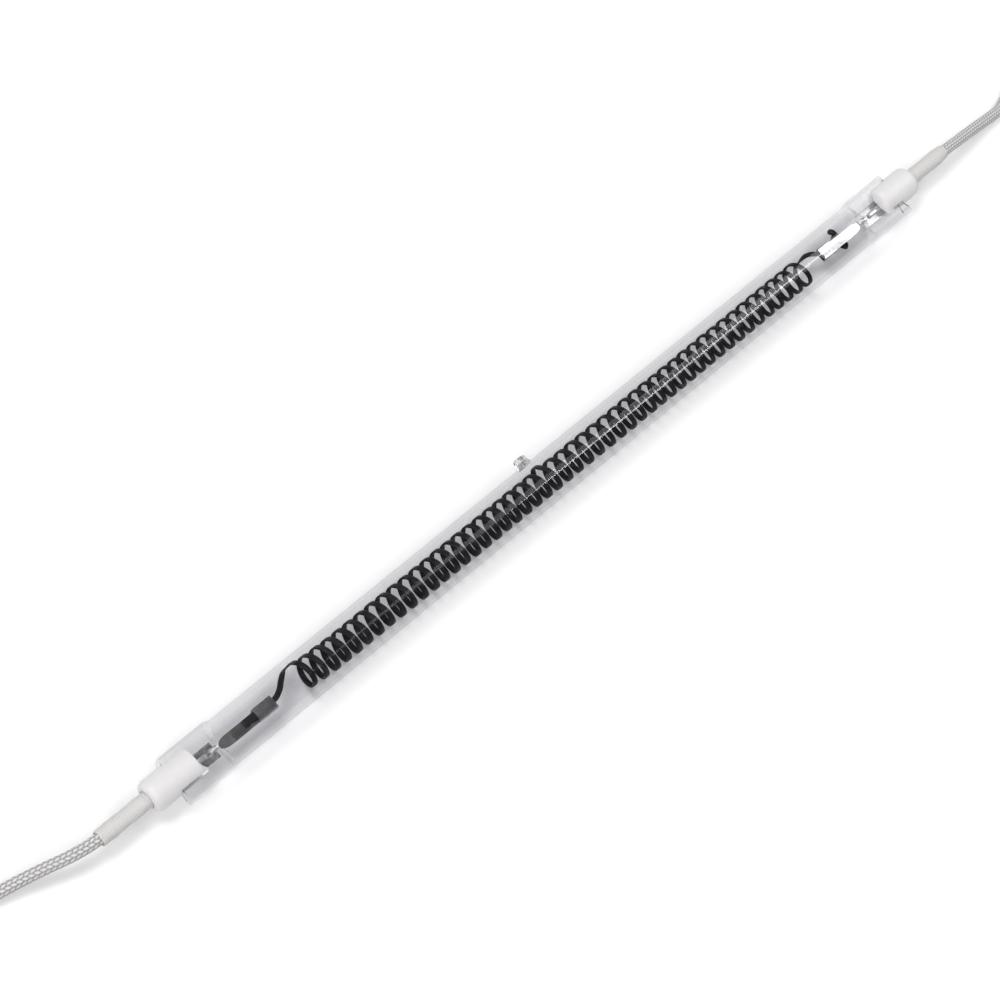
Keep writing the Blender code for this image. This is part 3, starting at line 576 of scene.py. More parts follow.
def makeBead(material):
    plan = beadPlan
    turn = np.linspace(0, 2 * np.pi, 73)[:-1]
    share = np.sin(np.linspace(0.02, np.pi / 2, 30))[:, None]
    wave = (1 + 0.05 * np.sin(3 * turn + 1) + 0.035 * np.sin(5 * turn + 7 * share)
            + 0.02 * np.sin(11 * turn + 9 * share))
    radius = np.maximum(1 - share**7, 0.0004) ** 0.5 * (1 - 0.07 * np.sin(np.pi * share) ** 2) * wave
    parts = []
    for scale, rise, foot in ((1.0, 1.0, 0.0), (plan["bubble"], 0.85, 0.05)):
        x = plan["place"][0] + plan["radii"][0] * radius * scale * np.cos(turn)
        y = plan["place"][1] + plan["height"] * (share * rise + foot)
        z = axisHeight + plan["lift"] + plan["radii"][1] * radius * scale * np.sin(turn)
        parts.append(buildSurface("beadShell", pointGrid(x, y, z)))
        fixOutside(parts[-1])
    parts[1].data.flip_normals()
    return dress(joinPieces("exhaustBead", parts), material, "quartz")


# Quartz: clear glass that hardly bends the light, under a smooth coat that carries its reflections. Both
# ramps go from a wall seen straight on, at 0, to one seen edge-on, at 1: what it lets through to the eye,
# and what it lets through to the floor. The wall ramp's darker edge-on stops are painted shade for the
# dark edge band that bent light would give.
quartzPlan = {
    # The wall colour's darker edge-on stops are painted shade along the tube's edges.
    "wall": ((0.0, (0.83, 0.827, 0.842)), (0.40, (0.835, 0.832, 0.845)), (0.55, (0.79, 0.787, 0.80)),
             (0.9, (0.71, 0.71, 0.73)), (1.0, (0.52, 0.52, 0.54))),
    "shade": ((0.0, (0.965, 0.965, 0.97)), (0.3, (0.93, 0.93, 0.935)), (0.6, (0.78, 0.78, 0.79)),
              (1.0, (0.22, 0.22, 0.23))),
    "bore": (0.95, 0.948, 0.958, 1.0),
}


def makeQuartz():
    material, nodes, shader = newMaterial("quartz", (0.93, 0.93, 0.955), 0.0, IOR=1.002,
                                          Transmission_Weight=1.0, Coat_Weight=1.0, Coat_Roughness=0.0,
                                          Coat_IOR=1.46)
    facing = nodes.add("ShaderNodeLayerWeight", Blend=0.5).outputs["Facing"]
    bore = nodes.add("ShaderNodeAttribute", {"attribute_name": "bore"}).outputs["Fac"]
    mix = nodes.add("ShaderNodeMix", {"data_type": "RGBA"}, Factor=bore)
    nodes.put(mix, "6", nodes.ramp(facing, quartzPlan["wall"]))
    nodes.put(mix, "7", quartzPlan["bore"])
    nodes.putAll(shader, Base_Color=mix.outputs[2], Coat_Weight=nodes.math("SUBTRACT", 1.0, bore))
    letLightThrough(material, nodes, shader, nodes.ramp(facing, quartzPlan["shade"]))
    return material


quartz = makeQuartz()
makeTube(quartz)
makeBead(makeBeadGlass())
print("quartz tube made")


# Carbon spiral: one flat ribbon, from its end on the left strip to its frayed end under the right one
ribbonPlan = {
    "widths": ((-90, 1.42), (-70, 1.5), (0, 1.48), (30, 1.38), (86, 1.32)),
    "thickness": 0.52 * mm,
    "endWidth": 2.0 * mm,
    "radius": 3.51 * mm,
    "turns": 49,
    "stepsPerTurn": 56,
    "start": -85.45 * mm,
    "end": 89.3 * mm,
    "drift": 0.02,
    "sag": 0.4 * mm,
    "shifts": (0.8 * mm, -0.35 * mm),
    "drawnIn": 0.28,
    "kink": (23, 0.22, 0.075),
    "wander": ((0, 0), (2.5, 0.02), (5.5, -0.22), (8.5, 0.02), (11.5, 0.26), (14.5, 0.04), (17.5, -0.15),
               (20.5, -0.46), (23.5, -0.73), (26.5, -0.41), (29.5, 0.31), (32.5, 0.5), (35.5, 0.27),
               (38.5, 0.13), (41.5, 0.15), (44.5, 0.46), (49, 0)),
    "lean": ((0, 0.17), (0.02, 0.14), (0.04, 0.10), (0.06, 0.075), (0.2, 0.045), (0.42, 0.0), (0.8, -0.03),
             (0.97, -0.02), (1, 0.12)),
    "clampStarts": {"left": 94.15 * mm, "right": 95.6 * mm},
    "clampEnds": {"left": 99.75 * mm, "right": 99.85 * mm},
    "pastClamp": 3.45 * mm,
    "levels": {"left": 0.91 * mm, "right": -0.21 * mm},
    "clampY": {"left": 0.0, "right": 0.85 * mm},
    "climb": {
        "left": ((0.31, 0.27, 0.9), (0.56, 0.74, 0.5), (0.81, 1.13, 0.15)),
        "right": ((0.17, 0.42, 0.8), (0.37, 0.58, 0.2), (0.65, 0.66, -0.6)),
    },
}


# Knots of a tail, from the ribbon's cut end to the rear of the spiral, as (x, y, z above the axis).
def tailKnots(side):
    plan = ribbonPlan
    level = plan["levels"][side]
    start, end = plan["clampStarts"][side], plan["clampEnds"][side]
    coilEnd = abs(plan["start"]) if side == "left" else plan["end"]
    gap = start - coilEnd
    knots = [(end + plan["pastClamp"], 0, level), (end + 0.5 * plan["pastClamp"], 0, level), (end, 0, level),
             (start, plan["clampY"][side], level)]
    for along, out, lift in plan["climb"][side]:
        knots.append((start - gap * along, plan["radius"] * out, level * lift))
    return np.array(knots) * np.array([sides[side], 1, 1])


# Helix: x runs evenly but for a small drift and the measured wander, and leans with the height over the axis.
# The first turn rides up the rear side, and the last quarter turn is drawn in to its tail.
def ribbonPath():
    plan = ribbonPlan
    steps = plan["turns"] * plan["stepsPerTurn"]
    share = np.arange(steps + 1) / steps
    angle = 2 * np.pi * plan["turns"] * share
    along = share + plan["drift"] * share * (share - 1)
    x = plan["start"] + (plan["end"] - plan["start"]) * along
    x = x + np.interp(share * plan["turns"], *np.transpose(plan["wander"])) * mm
    sag = plan["sag"] * 4 * share * (1 - share)
    shift = plan["shifts"][0] * (1 - share) ** plan["turns"] + plan["shifts"][1] * share
    uneven = 1 + 0.010 * np.sin(7.3 * angle / (2 * np.pi)) + 0.008 * np.sin(2.9 * angle / (2 * np.pi) + 1)
    radius = plan["radius"] * uneven * (1 - plan["drawnIn"] * smoothStep(1 - 3 * plan["turns"] * (1 - share)))
    kinkAt, kinkRise, kinkWidth = plan["kink"]
    radius = radius * (1 + kinkRise * np.exp(-((share * plan["turns"] - kinkAt) / kinkWidth) ** 2))
    lean = np.interp(share, *np.transpose(plan["lean"]))
    helix = np.stack([x + lean * radius * np.sin(angle), radius * np.cos(angle) + shift,
                      radius * np.sin(angle) - sag], 1)
    flat = np.stack([np.zeros_like(x), np.cos(angle), np.sin(angle)], 1)
    skip = plan["stepsPerTurn"] // 14
    helix, flat = helix[skip:-skip], flat[skip:-skip]
    tails = {}
    for side in sides:
        inner = helix[0] if side == "left" else helix[-1]
        following = helix[skip] if side == "left" else helix[-1 - skip]
        knots = np.vstack([tailKnots(side), inner, following])
        curve = smoothCurve(knots, 14)[:-15]
        first, last = plan["clampStarts"][side], abs(inner[0])
        turn = smoothStep(((first - np.abs(curve[:, 0])) / (first - last)).clip(0, 1) ** 1.6) * np.pi / 2
        tails[side] = (curve, np.stack([np.zeros_like(turn), np.sin(turn), np.cos(turn)], 1))
    path = np.vstack([tails["left"][0], helix, tails["right"][0][::-1]])
    flat = np.vstack([tails["left"][1], flat, tails["right"][1][::-1]])
    return path + np.array([0, 0, axisHeight]), flat


def makeRibbon(material):
    plan = ribbonPlan
    path, flat = ribbonPath()
    tangent = unit(np.gradient(path, axis=0))
    across = unit(np.cross(tangent, flat))
    normal = np.cross(across, tangent)
    reach = np.abs(path[:, 0])
    ends = np.where(path[:, 0] < 0, plan["clampEnds"]["left"], plan["clampEnds"]["right"])
    plain = np.interp(path[:, 0] / mm, *np.transpose(plan["widths"])) * mm
    width = plain + (plan["endWidth"] - plain) * smoothStep((reach - ends + 3 * mm) / (3 * mm))
    count = 16
    first, second = circle(count, 0.5, 0.45)[0], circle(count, 0.5, 0.6)[1]
    grid = sweep(path, across, normal, 0.5 * width[:, None] * first, 0.5 * plan["thickness"] * second)
    around = np.arange(count + 1) / count * 4 * mm
    ribbon = buildSurface("carbonRibbon", grid[::-1], along=arcLength(path), around=around)
    return dress(ribbon, material, "carbon", "carbon_spiral")


# Woven carbon: fibre bundles along the ribbon, from its UV map, with a satin sheen that varies.
def makeCarbon():
    material, nodes, shader = newMaterial("carbon", (0.010, 0.009, 0.011), 0.5, Specular_IOR_Level=0.18)
    uv = nodes.add("ShaderNodeTexCoord").outputs["UV"]
    parts = []
    for scale, detail, share in (((260.0, 5200.0, 1.0), 3.0, 0.7), ((1500.0, 700.0, 1.0), 1.0, 0.3)):
        lines = nodes.add("ShaderNodeMapping", Vector=uv, Scale=scale).outputs[0]
        noise = nodes.add("ShaderNodeTexNoise", Vector=lines, Scale=1.0, Detail=detail).outputs["Fac"]
        parts.append(nodes.math("MULTIPLY", noise, share))
    mask = nodes.math("ADD", *parts)
    colour = nodes.ramp(mask, [(0.3, (0.0025, 0.002, 0.003)), (0.62, (0.008, 0.007, 0.009)),
                               (0.8, (0.028, 0.025, 0.029))])
    bump = nodes.add("ShaderNodeBump", Height=mask, Distance=0.00008, Strength=0.8)
    nodes.putAll(shader, Base_Color=colour, Normal=bump.outputs[0],
                 Roughness=nodes.math("ADD", nodes.math("MULTIPLY", mask, 0.35), 0.30))
    return material


carbon = makeCarbon()
makeRibbon(carbon)
print("carbon spiral wound")


# Metal in the ends: strips, clamps, rods, windings and foils
metalPlan = {
    "stripEnds": {"left": 110.75 * mm, "right": 110.2 * mm},
    "stripHalf": 1.45 * mm,
    "stripTip": 0.35 * mm,
    "stripTaper": 3.0 * mm,
    "stripThick": 0.3 * mm,
    "stripLift": 0.35 * mm,
    "stripDish": {"left": 0.10 * mm, "right": 0.05 * mm},
    "clampLevels": {"left": (6.0 * mm, 7.32 * mm), "right": (5.38 * mm, 6.7 * mm)},
    "clampHalf": 1.5 * mm,
    "clampPowers": (9.0, 5.0),
    "aside": {"left": -0.35 * mm, "right": -0.2 * mm},
    "sheet": 0.25 * mm,
    "dimple": 0.9 * mm,
    "rodRadius": 0.5 * mm,
    "windTurns": 4.5,
    "windWire": 0.14 * mm,
    "foilStart": 111.8 * mm,
    "foilEnd": 121.95 * mm,
    "foilHalf": 2.15 * mm,
    "foilLevel": 5.74 * mm,
}


# Nickel and its kin: brushed along X, with soft lighter and darker patches at random, made strong as painted
# reflection for the light sweeps that the metal doesn't mirror.
def makeMetal(name, colour, roughness):
    material, nodes, shader = newMaterial(name, colour, roughness, 1.0)
    streak = grain(nodes, 1400.0, 0.00001, (0.12, 1.0, 1.0)).outputs
    patchesAndPaintedSweeps = grain(nodes, 170.0, 0.0).outputs["Mask"]
    # Painted reflection: the patches' lighter and darker stops stand in for mirrored light sweeps over the
    # metal's own colour.
    dark, light = [tuple(min(share * c, 1.0) for c in colour) for share in (0.66, 1.3)]
    rough = nodes.math("ADD", nodes.math("MULTIPLY", streak["Mask"], 0.22), roughness - 0.11)
    nodes.putAll(shader, Base_Color=nodes.ramp(patchesAndPaintedSweeps, [(0.36, dark), (0.52, colour), (0.66, light)]),
                 Roughness=rough, Normal=streak["Normal"])
    return material


nickel = makeMetal("nickel", (0.50, 0.49, 0.49), 0.17)
molybdenum = makeMetal("molybdenum", (0.40, 0.40, 0.42), 0.27)
rodMetal = makeMetal("rodMetal", (0.74, 0.73, 0.73), 0.30)
tinned = makeMetal("tinned", (0.76, 0.76, 0.75), 0.30)


# Contact strip: a flat bar dished a little along its length, its seal end drawn in as a quarter ellipse.
def makeStrip(side):
    plan = metalPlan
    low, high = ribbonPlan["clampStarts"][side], plan["stripEnds"][side]
    clampEnd = ribbonPlan["clampEnds"][side]
    straight = np.linspace(low + 0.1 * mm, high - plan["stripTaper"], 40)
    taper = high - plan["stripTaper"] * (1 - np.sin(np.linspace(0, np.pi / 2, 18)[1:]))
    xs = np.concatenate([[low, low + 0.03 * mm], straight, taper])
    t = np.clip((xs - high + plan["stripTaper"]) / plan["stripTaper"], 0, 1)
    half = plan["stripHalf"] - (plan["stripHalf"] - plan["stripTip"]) * (1 - np.sqrt(1 - t**2))
    half[-1] = plan["stripTip"] * 0.85
    dish = plan["stripDish"][side] * np.sin(np.pi * np.clip((xs - clampEnd) / (high - clampEnd), 0, 1))
    thick = np.full_like(xs, 0.5 * plan["stripThick"])
    thick[[0, -1]] *= 0.7
    grid = barAlongX(xs, half, thick, plan["aside"][side], axisHeight + plan["stripLift"] - dish, 7.0, 48)
    strip = buildSurface(side + "ContactStrip", placed(side, grid), along=xs)
    return dress(strip, nickel, "nickel", side + "_contact_strip")


# Clamp: sheet folded to a flat loop, |y/w|^p + |z/t|^p = 1, with a lapped edge and a ringed dimple on top.
def makeClamp(side):
    plan = metalPlan
    low, high = plan["clampLevels"][side]
    start, end = ribbonPlan["clampStarts"][side], ribbonPlan["clampEnds"][side]
    centre, halfHeight = (low + high) / 2, (high - low) / 2
    xs = np.linspace(start, end, 64)
    sheet = np.full_like(xs, plan["sheet"])
    sheet[[0, -1]] *= 0.5
    outerPower, innerPower = plan["clampPowers"]
    outer = barAlongX(xs, plan["clampHalf"] + sheet, halfHeight + sheet, 0.0, centre, outerPower, 120)
    inner = barAlongX(xs[::-1], plan["clampHalf"], halfHeight, 0.0, centre, innerPower, 120)
    y, z = outer[..., 1], outer[..., 2]
    onTop = smoothStep((z - centre) / (0.6 * halfHeight))
    away = np.hypot(xs[:, None] - (start + end) / 2, y) / plan["dimple"]
    ring = 0.03 * mm * np.exp(-((away - 1.05) / 0.2) ** 2) - 0.05 * mm * smoothStep(1 - away)
    lap = -0.042 * mm * smoothStep((y + 0.95 * mm) / (0.08 * mm)) * smoothStep((1.3 * mm - y) / (0.1 * mm))
    pull = 0.02 * mm * np.sin(xs * 2100)[:, None] * smoothStep(1 - np.abs(y) / plan["clampHalf"])
    outer[..., 2] = z + onTop * (ring + lap + pull)
    grid = np.vstack([outer, inner]) + np.array([0, 0.6 * plan["aside"][side], 0])
    clamp = buildSurface(side + "Clamp", placed(side, grid), wrapRows=True, sharpAngle=50)
    return dress(clamp, nickel, "nickel", side + "_clamp")


# A rod along knots of (x, z): circles of one radius with small rounded ends, pressed flatter on the foil.
def makeRod(side, end, knots, centreY):
    plan = metalPlan
    curve = smoothCurve(knots, 12)
    ends = np.array([0.05, 0.45, 0.75, 0.92])
    ease = np.concatenate([ends, np.ones(len(curve)), ends[::-1]])
    step = 0.25 * plan["rodRadius"] * np.array([-4.0, -3.6, -2.9, -1.7])
    xs = np.concatenate([curve[0, 0] + step + 0.25 * mm, curve[:, 0], curve[-1, 0] - step[::-1] - 0.25 * mm])
    order = np.argsort(xs, kind="stable")
    xs, radius = xs[order], ease[order] * plan["rodRadius"]
    onFoil = smoothStep((xs - plan["foilStart"]) / (0.8 * mm))
    onFoil = onFoil * smoothStep((plan["foilEnd"] - xs) / (1.5 * mm))
    grid = barAlongX(xs, radius * (1 + 0.35 * onFoil), radius * (1 - 0.2 * onFoil), np.interp(xs, *centreY),
                     np.interp(xs, curve[:, 0], curve[:, 1]) - 0.1 * mm * onFoil, 2.0, 28)
    rod = buildSurface(side + end.capitalize() + "Rod", placed(side, grid), along=xs)
    return dress(rod, rodMetal, "nickel", f"{side}_{end}_rod")


def makeRods(side):
    end = metalPlan["stripEnds"][side] / mm
    inner = ((end - 2.2, 5.69), (end - 1.0, 5.69), (end + 0.35, 6.0), (111.5, 6.02), (112.3, 6.25),
             (113.2, 6.31))
    outer = ((114.7, 6.31), (117.5, 6.31), (121.4, 6.31), (123.2, 6.02), (124.4, 6.0), (126.2, 6.0),
             (127.7, 6.0))
    jog = np.array([(124.25, 0.0), (126.25, 0.8), (200.0, 0.8)]).T * mm  # bends to the cap's line
    makeRod(side, "inner", np.array(inner) * mm, ((0, 1), (0, 0)))
    makeRod(side, "outer", np.array(outer) * mm, jog)


# Winding: a wire on a helix, centre (x, r cos a, r sin a), whose section is a small circle.
def makeWinding(side):
    plan = metalPlan
    low, high = plan["stripEnds"][side] + 0.3 * mm, plan["foilStart"] - 0.3 * mm
    angle = np.linspace(0, 2 * np.pi * plan["windTurns"], 150)
    radius = plan["rodRadius"] + plan["windWire"] + 0.1 * mm
    x = low + (high - low) * angle / angle[-1]
    path = np.stack([x, radius * np.cos(angle), axisHeight + radius * np.sin(angle)], 1)
    out = np.stack([np.zeros_like(x), np.cos(angle), np.sin(angle)], 1)
    cosines, sines = circle(10)
    across = unit(np.cross(unit(np.gradient(path, axis=0)), out))
    grid = sweep(path, out, across, plan["windWire"] * cosines, plan["windWire"] * sines)
    wire = buildSurface(side + "Winding", placed(side, grid), along=arcLength(path))
    fixOutside(wire)
    return dress(wire, rodMetal, "nickel", side + "_rod_coil")


# Foil: a thin sheet whose long edges are etched to a feather, with a faint ripple.
def makeFoil(side):
    plan = metalPlan
    xs = np.linspace(plan["foilStart"], plan["foilEnd"], 60)
    half = plan["foilHalf"] + 0.03 * mm * np.sin(xs * 3100)
    level = plan["foilLevel"] + 0.018 * mm * np.sin(xs * 1400)
    grid = barAlongX(xs, half, 0.055 * mm, 0.0, level, 2.6, 40)
    foil = buildSurface(side + "Foil", placed(side, grid), along=xs)
    return dress(foil, molybdenum, "foil", side + "_foil")


# Stray end of the ribbon under the right strip: a short flat bundle, w(s) = W sin(pi s)^0.3, curled up at
# its rear.
strayPlan = {
    "knots": ((104.2, -2.5, 5.4), (103.8, -1.9, 5.1), (103.3, 0.0, 4.95), (103.2, 1.5, 5.1),
              (103.0, 2.3, 5.6), (102.6, 2.5, 6.3), (102.4, 2.1, 6.7)),
    "width": 3.0 * mm,
    "thickness": 0.4 * mm,
}


def makeStray(material):
    plan = strayPlan
    path = smoothCurve(np.array(plan["knots"]) * mm, 10)
    tangent = unit(np.gradient(path, axis=0))
    across = unit(np.cross(tangent, np.array([0, 0, 1.0])))
    normal = np.cross(across, tangent)
    share = np.linspace(0, 1, len(path))
    width = plan["width"] * np.sin(np.pi * np.clip(share, 0.02, 0.98)) ** 0.3
    cosines, sines = circle(16)
    grid = sweep(path, across, normal, 0.5 * width[:, None] * cosines, 0.5 * plan["thickness"] * sines)
    stray = buildSurface("strayEnd", grid, along=arcLength(path))
    fixOutside(stray)
    return dress(stray, material, "carbon")


for side in sides:
    makeStrip(side)
    makeClamp(side)
    makeRods(side)
    makeWinding(side)
    makeFoil(side)
makeStray(carbon)
print("metal parts made")


# Ceramic caps, cement, sleeves
capPlan = {
    "shift": 0.8 * mm,
    "radius": 4.10 * mm,
    "bore": 2.3 * mm,
    "end": 131.4 * mm,
    "inner": {"left": 118.05 * mm, "right": 120.1 * mm},
    "fillet": 1.8 * mm,
    "faceWidth": 0.5 * mm,
    "lip": 0.3 * mm,
    "slotHalf": 1.9 * mm,
    "slotEnd": 124.55 * mm,
}


# Fired ceramic: a matt white with a fine tooth, faint pits and a slight warm drift.
def makeCeramic():
    material, nodes, shader = newMaterial("ceramic", (0.82, 0.805, 0.81), 0.42)
    tooth = grain(nodes, 2600.0, 0.000006).outputs
    drift = grain(nodes, 160.0, 0.0).outputs["Mask"]
    colour = nodes.ramp(drift, [(0.35, (0.80, 0.78, 0.785)), (0.65, (0.84, 0.828, 0.83))])
    rough = nodes.math("ADD", nodes.math("MULTIPLY", tooth["Mask"], 0.3), 0.28)
    nodes.putAll(shader, Base_Color=colour, Roughness=rough, Normal=tooth["Normal"])
    return material


# Cement and tape: one grain gives both the colour, between two stops, and the tooth.
def makeToothed(name, colour, roughness, tooth, stops):
    material, nodes, shader = newMaterial(name, colour, roughness)
    tooth = grain(nodes, *tooth).outputs
    nodes.putAll(shader, Base_Color=nodes.ramp(tooth["Mask"], stops), Normal=tooth["Normal"])
    return material


ceramic = makeCeramic()
cement = makeToothed("cement", (0.80, 0.79, 0.77), 0.9, (1500.0, 0.00005),
                     [(0.3, (0.68, 0.665, 0.64)), (0.6, (0.83, 0.82, 0.80))])


# Cap: a profile of (x, radius) turned about the cap's own line, wall closed over both ends.
def makeCap(side):
    plan = capPlan
    low, high, lip, fillet = plan["inner"][side], plan["end"], plan["lip"], plan["fillet"]
    rise = plan["radius"] - plan["bore"] - plan["faceWidth"]
    turn = np.linspace(0, np.pi / 2, 9)
    inside = np.stack([low + lip * (1 - np.cos(turn)), plan["radius"] - lip * (1 - np.sin(turn))], 1)
    wall = np.stack([np.linspace(low + lip, high - fillet, 30)[1:-1], np.full(28, plan["radius"])], 1)
    outside = np.stack([high - fillet * (1 - np.sin(turn)), plan["radius"] - rise * (1 - np.cos(turn))], 1)
    bore = np.stack([np.linspace(high, low, 30), np.full(30, plan["bore"])], 1)
    profile = np.vstack([inside, wall, outside, bore])
    x, radius = profile[:, :1], profile[:, 1:]
    cosines, sines = circle(96)
    grid = pointGrid(x, plan["shift"] + radius * cosines, axisHeight + radius * sines)
    cap = buildSurface(side + "CeramicCap", placed(side, grid), wrapRows=True)
    fixOutside(cap)
    reach = 3 * plan["radius"]
    xs = np.array([low - reach, plan["slotEnd"]])[:, None]
    boxZ = axisHeight + np.array([1, 1, -1, -1]) * plan["slotHalf"]
    box = pointGrid(xs, np.array([1, -1, -1, 1]) * reach, boxZ)
    cutter = buildSurface(side + "SlotCutter", placed(side, box))
    fixOutside(cutter)
    slot = cap.modifiers.new("slot", "BOOLEAN")
    slot.operation, slot.solver, slot.object = "DIFFERENCE", "EXACT", cutter
    bevel = cap.modifiers.new("slotEdge", "BEVEL")
    bevel.width, bevel.segments = 0.12 * mm, 2
    bevel.limit_method, bevel.angle_limit = "ANGLE", math.radians(50)
    applyModifiers(cap)
    bpy.data.objects.remove(cutter, do_unlink=True)
    cap.data.set_sharp_from_angle(angle=math.radians(40))
    return dress(cap, ceramic, "ceramic", side + "_ceramic_cap")


# Cement pressed out of the cap over the seal: at each y a section that falls from the cap's rim to the web as
# a quarter of |x|^1.6 + |z|^1.6 = 1, whose reach along x follows a measured outline.
filletPlan = {
    "inside": 0.5 * mm,
    "rim": 4.06 * mm,
    "half": 4.04 * mm,
    "web": 1.57 * mm,
    "film": 0.10 * mm,
    "reach": {
        "left": ((-1, 1.2), (-0.85, 1.75), (-0.6, 1.0), (-0.3, 0.35), (0.2, 0.15), (1, 0.1)),
        "right": ((-1, 1.5), (-0.7, 2.0), (-0.2, 2.25), (0.3, 2.1), (0.7, 1.5), (1, 0.6)),
    },
}


def makeFillet(side, lift):
    plan = filletPlan
    share = np.linspace(-1, 1, 56)
    y = share * plan["half"]
    top = np.sqrt(np.maximum(plan["rim"] ** 2 - y**2, (plan["web"] + plan["film"]) ** 2))
    reach = np.interp(share, *np.transpose(plan["reach"][side])) * mm
    reach = reach * (1 + 0.03 * np.sin(9 * share)) * (1 if lift > 0 else 0.2)
    turn = np.linspace(0, np.pi / 2, 18)
    x = np.concatenate([np.full((len(y), 2), -plan["inside"]), reach[:, None] * np.sin(turn) ** 1.25], 1)
    fall = (top - plan["web"])[:, None] * np.cos(turn) ** 1.25
    z = np.concatenate([np.full((len(y), 1), plan["web"] - 0.05 * mm), top[:, None], plan["web"] + fall], 1)
    grid = pointGrid(capPlan["inner"][side] - x, y[:, None] + capPlan["shift"], axisHeight + lift * z)
    fillet = buildSurface(side + ("UpperFillet" if lift > 0 else "LowerFillet"), placed(side, grid))
    fixOutside(fillet)
    return dress(fillet, ceramic, "ceramic")


# The piece keeps the mesh that its modifiers give.
def applyModifiers(piece):
    graph = bpy.context.evaluated_depsgraph_get()
    mesh = bpy.data.meshes.new_from_object(piece.evaluated_get(graph))
    old = piece.data
    piece.modifiers.clear()
    piece.data = mesh
    mesh.name = old.name
    bpy.data.meshes.remove(old)


for side in sides:
    makeCap(side)
    makeFillet(side, 1)
    makeFillet(side, -1)
    for node, material in (("_cement", cement), ("_crimp", nickel)):
        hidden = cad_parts[side + node]
        hidden.data.materials.clear()
        hidden.data.materials.append(material)
print("caps made")


# Knitted sleeves
sleevePlan = {
    "start": 127.35 * mm,
    "end": {"left": 145.5 * mm, "right": 145.2 * mm},
    "radius": 2.06 * mm,
    "bore": 1.72 * mm,
    "taper": {"left": 0.6 * mm, "right": 2.6 * mm},
    "drawnIn": {"left": 0.05 * mm, "right": 0.22 * mm},
    "wales": 28,
    "courses": 0.70 * mm,
    "relief": 0.08 * mm,
}


# Knit: rows of small loops. Height = |cos of half the wale angle|^0.6, times a wave along the courses.
def knitHeight(along, angle, wales, courses):
    column = wales * angle / (2 * np.pi) + 0.12 * np.sin(1900 * along + 3 * angle)
    row = along / courses + 0.5 * np.cos(2 * np.pi * column) + 0.25 * np.sin(700 * along + 5 * angle)
    loops = np.abs(np.cos(np.pi * column)) ** 0.6
    stitches = 0.5 + 0.5 * np.cos(2 * np.pi * row)
    return loops * (0.3 + 0.7 * stitches)


def makeSleeve(side, material):
    plan = sleevePlan
    start, end = plan["start"], plan["end"][side]
    rows = int((end - start) / (0.085 * mm))
    xs = np.linspace(start, end, rows)
    count = 156
    angle = 2 * np.pi * np.arange(count) / count
    height = knitHeight(xs[:, None], angle[None, :], plan["wales"], plan["courses"])
    narrow = plan["drawnIn"][side] * smoothStep((xs - end + plan["taper"][side]) / plan["taper"][side])
    soft = 0.03 * mm * np.sin(xs * 900) + 0.02 * mm * np.sin(xs * 2300 + 1)
    radius = (plan["radius"] + soft - narrow)[:, None] + plan["relief"] * (height - 0.5)
    inner = np.full((2, count), plan["bore"])
    lip = (radius[-1:] + plan["bore"]) / 2
    radius = np.vstack([radius, lip, inner])
    xs = np.concatenate([xs, [end + 0.05 * mm, end, start]])
    y, z = capPlan["shift"] + radius * np.cos(angle), axisHeight + radius * np.sin(angle)
    grid = pointGrid(xs[:, None], y, z)
    full = np.vstack([height, np.full((3, count), 0.5)])
    sleeve = buildSurface(side + "Sleeve", placed(side, grid), along=np.arange(len(xs) + 1) * 0.085 * mm,
                          wrapRows=True, sharpAngle=180)
    fixOutside(sleeve)
    setAttribute(sleeve, "relief", full if sides[side] > 0 else full[::-1])
    return dress(sleeve, material, "sleeve", side + "_sleeve")


# Yarn: colour and roughness follow the relief: painted shade darkens the gaps and painted light makes the
# strand tops pale.
def makeYarn(name, gap, middle, top, roughness, fibre):
    material, nodes, shader = newMaterial(name, middle, roughness)
    relief = nodes.add("ShaderNodeAttribute", {"attribute_name": "relief"}).outputs["Fac"]
    fuzz = grain(nodes, fibre, 0.00003).outputs
    level = nodes.math("MULTIPLY", nodes.math("SUBTRACT", fuzz["Mask"], 0.5), 0.5)
    # Painted shade in the gaps, the yarn's own colour between, painted light on the strand tops.
    colour = nodes.ramp(nodes.math("ADD", relief, level), [(0.08, gap), (0.45, middle), (0.85, top)])
    rough = nodes.math("SUBTRACT", roughness + 0.1, nodes.math("MULTIPLY", relief, 0.2))
    nodes.putAll(shader, Base_Color=colour, Roughness=rough, Normal=fuzz["Normal"])
    return material


# Each yarn's first colour is painted shade for its gaps and its last is painted light for its strand tops.
sleeveYarn = makeYarn("sleeveYarn", (0.52, 0.495, 0.48), (0.71, 0.69, 0.675), (0.81, 0.795, 0.785),
                      0.8, 2400.0)
leadYarn = makeYarn("leadYarn", (0.25, 0.235, 0.24), (0.47, 0.455, 0.46), (0.77, 0.76, 0.765), 0.6, 2600.0)
for side in sides:
    makeSleeve(side, sleeveYarn)
print("sleeves made")


